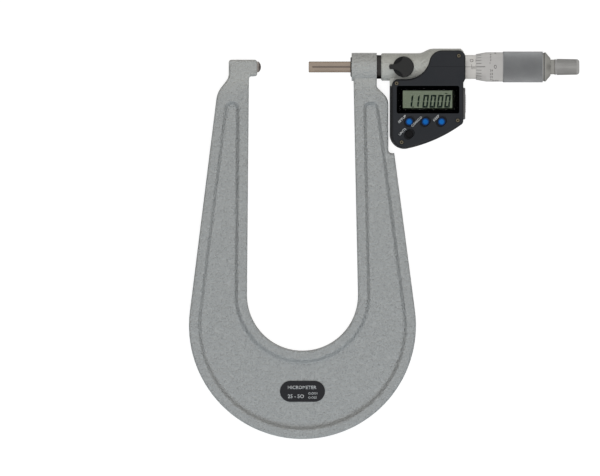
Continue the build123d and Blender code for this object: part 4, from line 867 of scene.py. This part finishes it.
def makeKnurlTree():
    # Four-sided points on two staggered lattices, wrapped into a diamond knurl
    tree, given, end = newTree("diamondKnurl", {
        "Around": "Int", "Along": "Int", "Length": "Float", "Radius": "Float", "Depth": "Float",
        "Start X": "Float", "Weld": "Float", "Steel": "Material"})
    stepX = mathNode(tree, "DIVIDE", given["Length"], given["Along"])
    girth = mathNode(tree, "MULTIPLY", given["Radius"], 2 * math.pi)
    stepY = mathNode(tree, "DIVIDE", girth, given["Around"])
    point = addNode(tree, "GeometryNodeMeshCone", knurlPoint, fill_type="NONE")
    halfX, halfY = mathNode(tree, "MULTIPLY", stepX, 0.5), mathNode(tree, "MULTIPLY", stepY, 0.5)
    size = joinVector(tree, halfX, halfY, given["Depth"])
    middle = mathNode(tree, "MULTIPLY", given["Length"], 0.5)
    both = tree.nodes.new("GeometryNodeJoinGeometry")
    for share in (0.0, 0.5):  # the second lattice stands half a step on, both ways
        lattice = addNode(tree, "GeometryNodeMeshGrid", {
            "Size X": mathNode(tree, "SUBTRACT", given["Length"], stepX), "Vertices X": given["Along"],
            "Size Y": mathNode(tree, "SUBTRACT", girth, stepY), "Vertices Y": given["Around"]})
        along = mathNode(tree, "ADD", middle, mathNode(tree, "MULTIPLY", stepX, share - 0.25))
        offset = joinVector(tree, along, mathNode(tree, "MULTIPLY", stepY, share))
        tree.links.new(moved(tree, lattice["Mesh"], offset), both.inputs["Geometry"])
    points = copiesOn(tree, both.outputs["Geometry"], point["Mesh"], size)
    wrapped = wrapInTree(tree, points, given["Radius"], 0.0, given["Start X"])
    welded = addNode(tree, "GeometryNodeMergeByDistance", {
        "Geometry": wrapped, "Distance": given["Weld"]})
    endTree(tree, welded["Geometry"], given["Steel"], end)
    return tree


markTree = makeMarkTree()
knurlTree = makeKnurlTree()


# Scale on the outer sleeve, a mark for each turn of the thimble

sleeveScaleValues = {
    "pitch": 0.635 * mm,
    "turns": 40,
    "zeroInset": 2.54 * mm,  # from the thimble's edge at rest back to the zero mark
    "lineWidth": 0.18 * mm,
    "thickness": 0.012 * mm,
    "shortMark": 1.4 * mm,
    "tenthMark": 1.5 * mm,
    "numeralHeight": 2.0 * mm,
    "numeralRound": 3.9 * mm,  # how far round from the reading line the numerals stand
    "turnsPerNumeral": 4,
    "bendStep": 0.25 * mm,
}


def makeSleeveScale(values):
    low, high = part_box("outer_sleeve")
    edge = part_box("thimble")[0].x
    radius = high.z
    zeroX = edge - values["zeroInset"]
    numeralStep = values["turnsPerNumeral"] * values["pitch"]
    numeralCount = values["turns"] // values["turnsPerNumeral"] + 1
    width, thickness = values["lineWidth"], values["thickness"]
    common = {**noLongMarks, "Radius": radius, "Slope": 0.0, "Ink": finishes["printBlack"]}
    meshes = [
        growMesh("readingLine", markTree, {
            **common, "Count": 1, "Step": (0, 0, 0), "Anchor": (0.5, 0, 0.5), "Start X": low.x,
            "Size": (high.x - low.x - width, width, thickness)}),
        growMesh("turnMarks", markTree, {
            **common, "Count": values["turns"] + 1, "Step": (values["pitch"], 0, 0),
            "Anchor": (0, -0.5, 0.5), "Start X": zeroX, "Size": (width, values["shortMark"], thickness)}),
        growMesh("tenthMarks", markTree, {
            **common, "Count": numeralCount, "Step": (numeralStep, 0, 0),
            "Anchor": (0, 0.5, 0.5), "Start X": zeroX, "Size": (width, values["tenthMark"], thickness)}),
    ]
    for number in range(numeralCount):
        numeral = textMesh(str(number % 10), values["numeralHeight"], thickness)
        place = (zeroX + number * numeralStep, values["numeralRound"], 0)
        numeral.transform(Matrix.Translation(place))
        meshes.append(wrapRound(numeral, radius, values["bendStep"]))
    addPiece("sleeveScale", joinMeshes("sleeveScale", meshes), "printBlack", "root")


# Scale on the thimble's bevel, with its numerals behind it

thimbleScaleValues = {
    "divisions": 25,
    "longEvery": 5,
    "longScale": 1.2,
    "bevelLength": 6.1 * mm,
    "edgeRadius": 7.5 * mm,
    "fullRadius": 8.6 * mm,
    "lineWidth": 0.22 * mm,
    "thickness": 0.012 * mm,
    "lineLength": 3.1 * mm,
    "zeroLine": 5.4 * mm,
    "zeroWidth": 0.3 * mm,
    "edgeGap": 0.12 * mm,
    "smallNumeral": 1.3 * mm,
    "largeNumeral": 2.2 * mm,
    "zeroShare": 0.7,  # how narrow the zero is
    "smallPlace": 8.6 * mm,  # from the thimble's edge
    "largePlace": 11.3 * mm,
    "numeralInset": 0.45 * mm,
    "bendStep": 0.25 * mm,
}


def makeThimbleScale(values):
    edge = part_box("thimble")[0].x
    edgeRadius, fullRadius = values["edgeRadius"], values["fullRadius"]
    slope = (fullRadius - edgeRadius) / values["bevelLength"]
    width, thickness = values["lineWidth"], values["thickness"]
    common = {
        "Radius": edgeRadius + slope * values["edgeGap"], "Slope": slope, "Ink": finishes["printBlack"],
        "Anchor": (0.5, 0, 0.5), "Start X": edge + values["edgeGap"]}
    turn = 2 * math.pi * common["Radius"] / values["divisions"]
    meshes = [
        growMesh("divisionMarks", markTree, {
            **common, "Count": values["divisions"], "Step": (0, turn, 0),
            "Long Every": values["longEvery"], "Long Scale": (values["longScale"], 1, 1),
            "Size": (values["lineLength"], width, thickness)}),
        growMesh("zeroMark", markTree, {
            **common, **noLongMarks, "Count": 1, "Step": (0, 0, 0),
            "Size": (values["zeroLine"] - values["edgeGap"], values["zeroWidth"], thickness)}),
    ]
    for number in range(values["divisions"]):
        isLarge = number % values["longEvery"] == 0
        height = values["largeNumeral"] if isLarge else values["smallNumeral"]
        numeral = textMesh(str(number), height, thickness)
        if number == 0:
            numeral.transform(Matrix.Diagonal((values["zeroShare"], 1, 1, 1)))
        place = values["largePlace"] if isLarge else values["smallPlace"]
        around = 2 * math.pi * fullRadius * number / values["divisions"]
        left = 0 if isLarge else widthOf(numeral) / 2 - values["numeralInset"]
        numeral.transform(Matrix.Translation((edge + place + left, around, 0)))
        meshes.append(wrapRound(numeral, fullRadius, values["bendStep"]))
    addPiece("thimbleScale", joinMeshes("thimbleScale", meshes), "printBlack", "spindle")


# Knurled grip, which stands for the plain tube

gripValues = {
    "around": 76,
    "along": 31,
    "depth": 0.24 * mm,
    "wall": 0.7 * mm,
    "band": 0.45 * mm,  # plain rim at each end
    "chamfer": 0.3 * mm,
    "rimDrop": 0.03 * mm,
    "steps": 128,
    "weld": 0.002 * mm,
}


def makeGrip(values):
    low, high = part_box("thimble_grip")
    outer = high.z
    valley = outer - values["depth"]
    bore = outer - values["wall"]
    left, right = low.x, high.x
    band, chamfer = values["band"], values["chamfer"]
    rim = outer - values["rimDrop"]
    tube = turnedMesh("gripTube", [
        (left, bore), (left, rim - chamfer), (left + chamfer, rim), (left + band, rim),
        (left + band, valley), (right - band, valley),
        (right - band, rim), (right - chamfer, rim), (right, rim - chamfer), (right, bore),
    ], values["steps"])
    knurl = growMesh("gripKnurl", knurlTree, {
        "Around": values["around"], "Along": values["along"], "Length": right - left - 2 * band,
        "Radius": valley, "Depth": values["depth"], "Start X": left + band, "Weld": values["weld"],
        "Steel": finishes["knurlChrome"]})
    grip = addPiece("knurledGrip", joinMeshes("knurledGrip", [tube, knurl]), "knurlChrome", "spindle")
    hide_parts("thimble_grip")


# Reading on the display, made of seven-segment digits

displayValues = {
    "reading": "110000",
    "cellPitch": 4.288 * mm,
    "lastCellLeft": 107.2 * mm,
    "digitWidth": 3.2 * mm,
    "digitBottom": -23.95 * mm,
    "digitHeight": 7.5 * mm,
    "stroke": 1.0 * mm,
    "gap": 0.035 * mm,
    "onesShift": (-0.6 * mm, -1.05 * mm),  # the two ones stand nearer the middle of their cells
    "slant": math.radians(7.0),
    "thickness": 0.03 * mm,
    "pointAfter": 0,
    "pointSize": 0.75 * mm,
    "pointGap": 0.25 * mm,
    "unitMark": (108.4 * mm, -15.55 * mm, 1.5 * mm, 0.45 * mm),  # middle and size of the small mark above
}

segmentsLit = {"0": "abcdef", "1": "bc"}


def segmentOutline(letter, values):
    # Corners of one lit segment in a digit whose lower left corner is the origin
    width, height = values["digitWidth"], values["digitHeight"]
    stroke, gap = values["stroke"], values["gap"]
    if letter in "ad":
        outer, inner = (height, height - stroke) if letter == "a" else (0, stroke)
        return [(gap, outer), (width - gap, outer), (width - gap - stroke, inner), (gap + stroke, inner)]
    outer, inner = (width, width - stroke) if letter in "bc" else (0, stroke)
    middle = height / 2
    bite = gap + stroke / 4  # the inner corners at half height keep a little further apart
    if letter in "bf":
        return [(outer, height - gap), (inner, height - gap - stroke), (inner, middle + bite),
                (outer, middle + gap)]
    return [(outer, gap), (inner, gap + stroke), (inner, middle - bite), (outer, middle - gap)]


def makeReading(values):
    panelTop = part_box("lcd_panel")[1].z
    shape = bmesh.new()

    def addFlat(corners, left, slanted=True):
        lean = math.tan(values["slant"]) if slanted else 0
        shape.faces.new([shape.verts.new((left + x + y * lean, values["digitBottom"] + y, panelTop))
                         for x, y in corners])

    count = len(values["reading"])
    for place, digit in enumerate(values["reading"]):
        left = values["lastCellLeft"] - (count - 1 - place) * values["cellPitch"]
        if place < len(values["onesShift"]):
            left += values["onesShift"][place]
        for letter in segmentsLit[digit]:
            addFlat(segmentOutline(letter, values), left)
        if place == values["pointAfter"]:
            start, size = values["digitWidth"] + values["pointGap"], values["pointSize"]
            addFlat(rectangle(start, 0, start + size, size), left)
    x, y, width, height = values["unitMark"]
    rise = y - values["digitBottom"]
    addFlat(rectangle(x - width / 2, rise - height / 2, x + width / 2, rise + height / 2), 0, False)
    for face in shape.faces:
        face.normal_update()
    bmesh.ops.reverse_faces(shape, faces=[face for face in shape.faces if face.normal.z < 0])
    mesh = bpy.data.meshes.new("displayDigits")
    shape.to_mesh(mesh)
    shape.free()
    thicken(mesh, values["thickness"])
    addPiece("displayDigits", mesh, "digitBlack", "root")


# Black print that frames the window on the cover, and the display under it

borderValues = {
    "around": {"left": 0.45 * mm, "right": 0.04 * mm, "top": 0.45 * mm, "bottom": 0.15 * mm,
               "corner": 1.2 * mm, "lap": 0.9 * mm, "thickness": 0.015 * mm},
    "within": {"left": 0.05 * mm, "right": 1.0 * mm, "top": 0.15 * mm, "bottom": 0.8 * mm,
               "side": 3.1 * mm, "brow": 2.2 * mm,  # from the mask's edges in to its opening
               "corner": 0.2 * mm, "lap": 0.02 * mm, "thickness": 0.02 * mm},
    "cornerSteps": 8,
}


def roundedOutline(left, right, bottom, top, radius, steps):
    # Corners of a rounded rectangle, anticlockwise from its lower right
    corners = []
    for quarter, (x, y) in enumerate([(right - radius, bottom + radius), (right - radius, top - radius),
                                      (left + radius, top - radius), (left + radius, bottom + radius)]):
        for step in range(steps + 1):
            angle = math.pi / 2 * (quarter - 1 + step / steps)
            corners.append((x + radius * math.cos(angle), y + radius * math.sin(angle)))
    return corners


def ringBetween(name, outer, inner, height, thickness):
    # Closed flat ring between two outlines with the same number of corners
    count = len(outer)
    mesh = bpy.data.meshes.new(name)
    mesh.from_pydata([(x, y, height) for x, y in outer + inner], [], [
        (step, (step + 1) % count, count + (step + 1) % count, count + step) for step in range(count)])
    thicken(mesh, thickness)
    return mesh


def makeBorders(values):
    low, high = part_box("display_window")
    around, steps = values["around"], values["cornerSteps"]
    radius, lap = around["corner"], around["lap"]
    outer = roundedOutline(low.x - around["left"], high.x + around["right"], low.y - around["bottom"],
                           high.y + around["top"], radius, steps)
    inner = roundedOutline(low.x + lap, high.x - lap, low.y + lap, high.y - lap, radius, steps)
    ring = ringBetween("windowBorder", outer, inner, coverTop, around["thickness"])
    addPiece("windowBorder", ring, "maskBlack", "root")

    low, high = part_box("display_mask")
    within = values["within"]
    left, right = low.x + within["side"], high.x - within["side"]
    bottom, top = low.y + within["brow"], high.y - within["brow"]
    radius, lap = within["corner"], within["lap"]
    outer = roundedOutline(left + lap, right - lap, bottom + lap, top - lap, radius, steps)
    inner = roundedOutline(left + within["left"], right - within["right"], bottom + within["bottom"],
                           top - within["top"], radius, steps)
    ring = ringBetween("displayBorder", outer, inner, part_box("lcd_panel")[1].z, within["thickness"])
    addPiece("displayBorder", ring, "maskBlack", "root")


# Words beside the buttons, at a slant across the cover

labelValues = {
    "words": {  # middle of each word, and its length
        "SETUP": (82.6 * mm, -30.6 * mm, 6.0 * mm),
        "CLEAR/0.0": (91.1 * mm, -32.1 * mm, 8.0 * mm),
        "KEEP": (102.6 * mm, -30.0 * mm, 4.4 * mm),
        "UNITS": (82.8 * mm, -38.0 * mm, 5.4 * mm),
    },
    "height": 1.35 * mm,
    "weight": 0.02,
    "turn": math.radians(44.0),
    "thickness": 0.015 * mm,
}


def makeLabels(values):
    meshes = []
    for word, (x, y, length) in values["words"].items():
        label = textMesh(word, values["height"], values["thickness"], values["weight"])
        label.transform(Matrix.Diagonal((length / widthOf(label), 1, 1, 1)))
        label.transform(Matrix.Translation((x, y, coverTop)) @ Matrix.Rotation(values["turn"], 4, "Z"))
        meshes.append(label)
    addPiece("buttonLabels", joinMeshes("buttonLabels", meshes), "printWhite", "root")


# Nameplate: a plain word and plain numbers, and no name

plateValues = {
    "words": {  # lettering, left end and middle height from the plate's middle, letter height
        "MICROMETER": (-8.6 * mm, 2.3 * mm, 2.0 * mm),
        "25 - 50": (-8.6 * mm, -2.9 * mm, 2.2 * mm),
        "0.001": (3.4 * mm, -1.2 * mm, 1.3 * mm),
        "0.025": (3.4 * mm, -3.6 * mm, 1.3 * mm),
    },
    "weight": 0.015,
    "thickness": 0.02 * mm,
}


def makePlatePrint(values):
    low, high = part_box("nameplate")
    middle = (low + high) / 2
    meshes = []
    for word, (left, rise, height) in values["words"].items():
        lettering = textMesh(word, height, values["thickness"], values["weight"])
        lettering.transform(Matrix.Translation((left + widthOf(lettering) / 2, rise, 0)))
        meshes.append(lettering)
    mesh = joinMeshes("platePrint", meshes)
    mesh.transform(Matrix.Translation((middle.x, middle.y, high.z)))
    addPiece("platePrint", mesh, "printWhite", "root")


# Fine moulded line across the cover, in line with the spindle

coverLineValues = {
    "left": 99.2 * mm, "right": 118.2 * mm, "place": 0.1 * mm, "width": 0.16 * mm, "height": 0.03 * mm,
}


def makeCoverLine(values):
    low, high = values["place"] - values["width"] / 2, values["place"] + values["width"] / 2
    outline = rectangle(values["left"], low, values["right"], high)
    line = bpy.data.meshes.new("coverLine")
    line.from_pydata([(x, y, coverTop) for x, y in outline], [], [(0, 1, 2, 3)])
    thicken(line, values["height"])
    addPiece("coverLine", line, "coverPrint", "root")


# Dark rings in the joint between grip and cone, and between neck and knob; the grey ring by the grip is
# painted shade in the deep seam

seamValues = {
    "left": 0.58 * mm, "width": 0.5 * mm, "sink": 0.3 * mm, "wall": 0.25 * mm,
    "neck": 8.6 * mm, "washerSink": 0.02 * mm, "washerWall": 0.8 * mm, "play": 0.03 * mm, "steps": 96,
}


def makeSeamRings(values):
    low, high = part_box("thimble_cap")
    left, right = low.x + values["left"], low.x + values["left"] + values["width"]
    bottom = high.z - values["sink"]
    top = bottom + values["wall"]
    # painted shade: a grey ring sunk in the seam
    ring = turnedBand("seamShadeRing", left, right, bottom, top, values["steps"])
    addPiece("seamShadeRing", ring, "seamShadeGrey", "spindle")
    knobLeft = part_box("ratchet_knob")[0].x
    left, right = high.x + values["play"], knobLeft - values["play"]
    top = values["neck"] / 2 - values["washerSink"]
    bottom = top - values["washerWall"]
    washer = turnedBand("knobWasher", left, right, bottom, top, values["steps"])
    addPiece("knobWasher", washer, "fibreRed", "spindle")


makeSleeveScale(sleeveScaleValues)
makeThimbleScale(thimbleScaleValues)
print("scales printed on sleeve and thimble")
makeGrip(gripValues)
print("grip knurled")
makeBorders(borderValues)
makeReading(displayValues)
makeLabels(labelValues)
makePlatePrint(plateValues)
makeCoverLine(coverLineValues)
makeSeamRings(seamValues)
print("display, labels and nameplate printed")
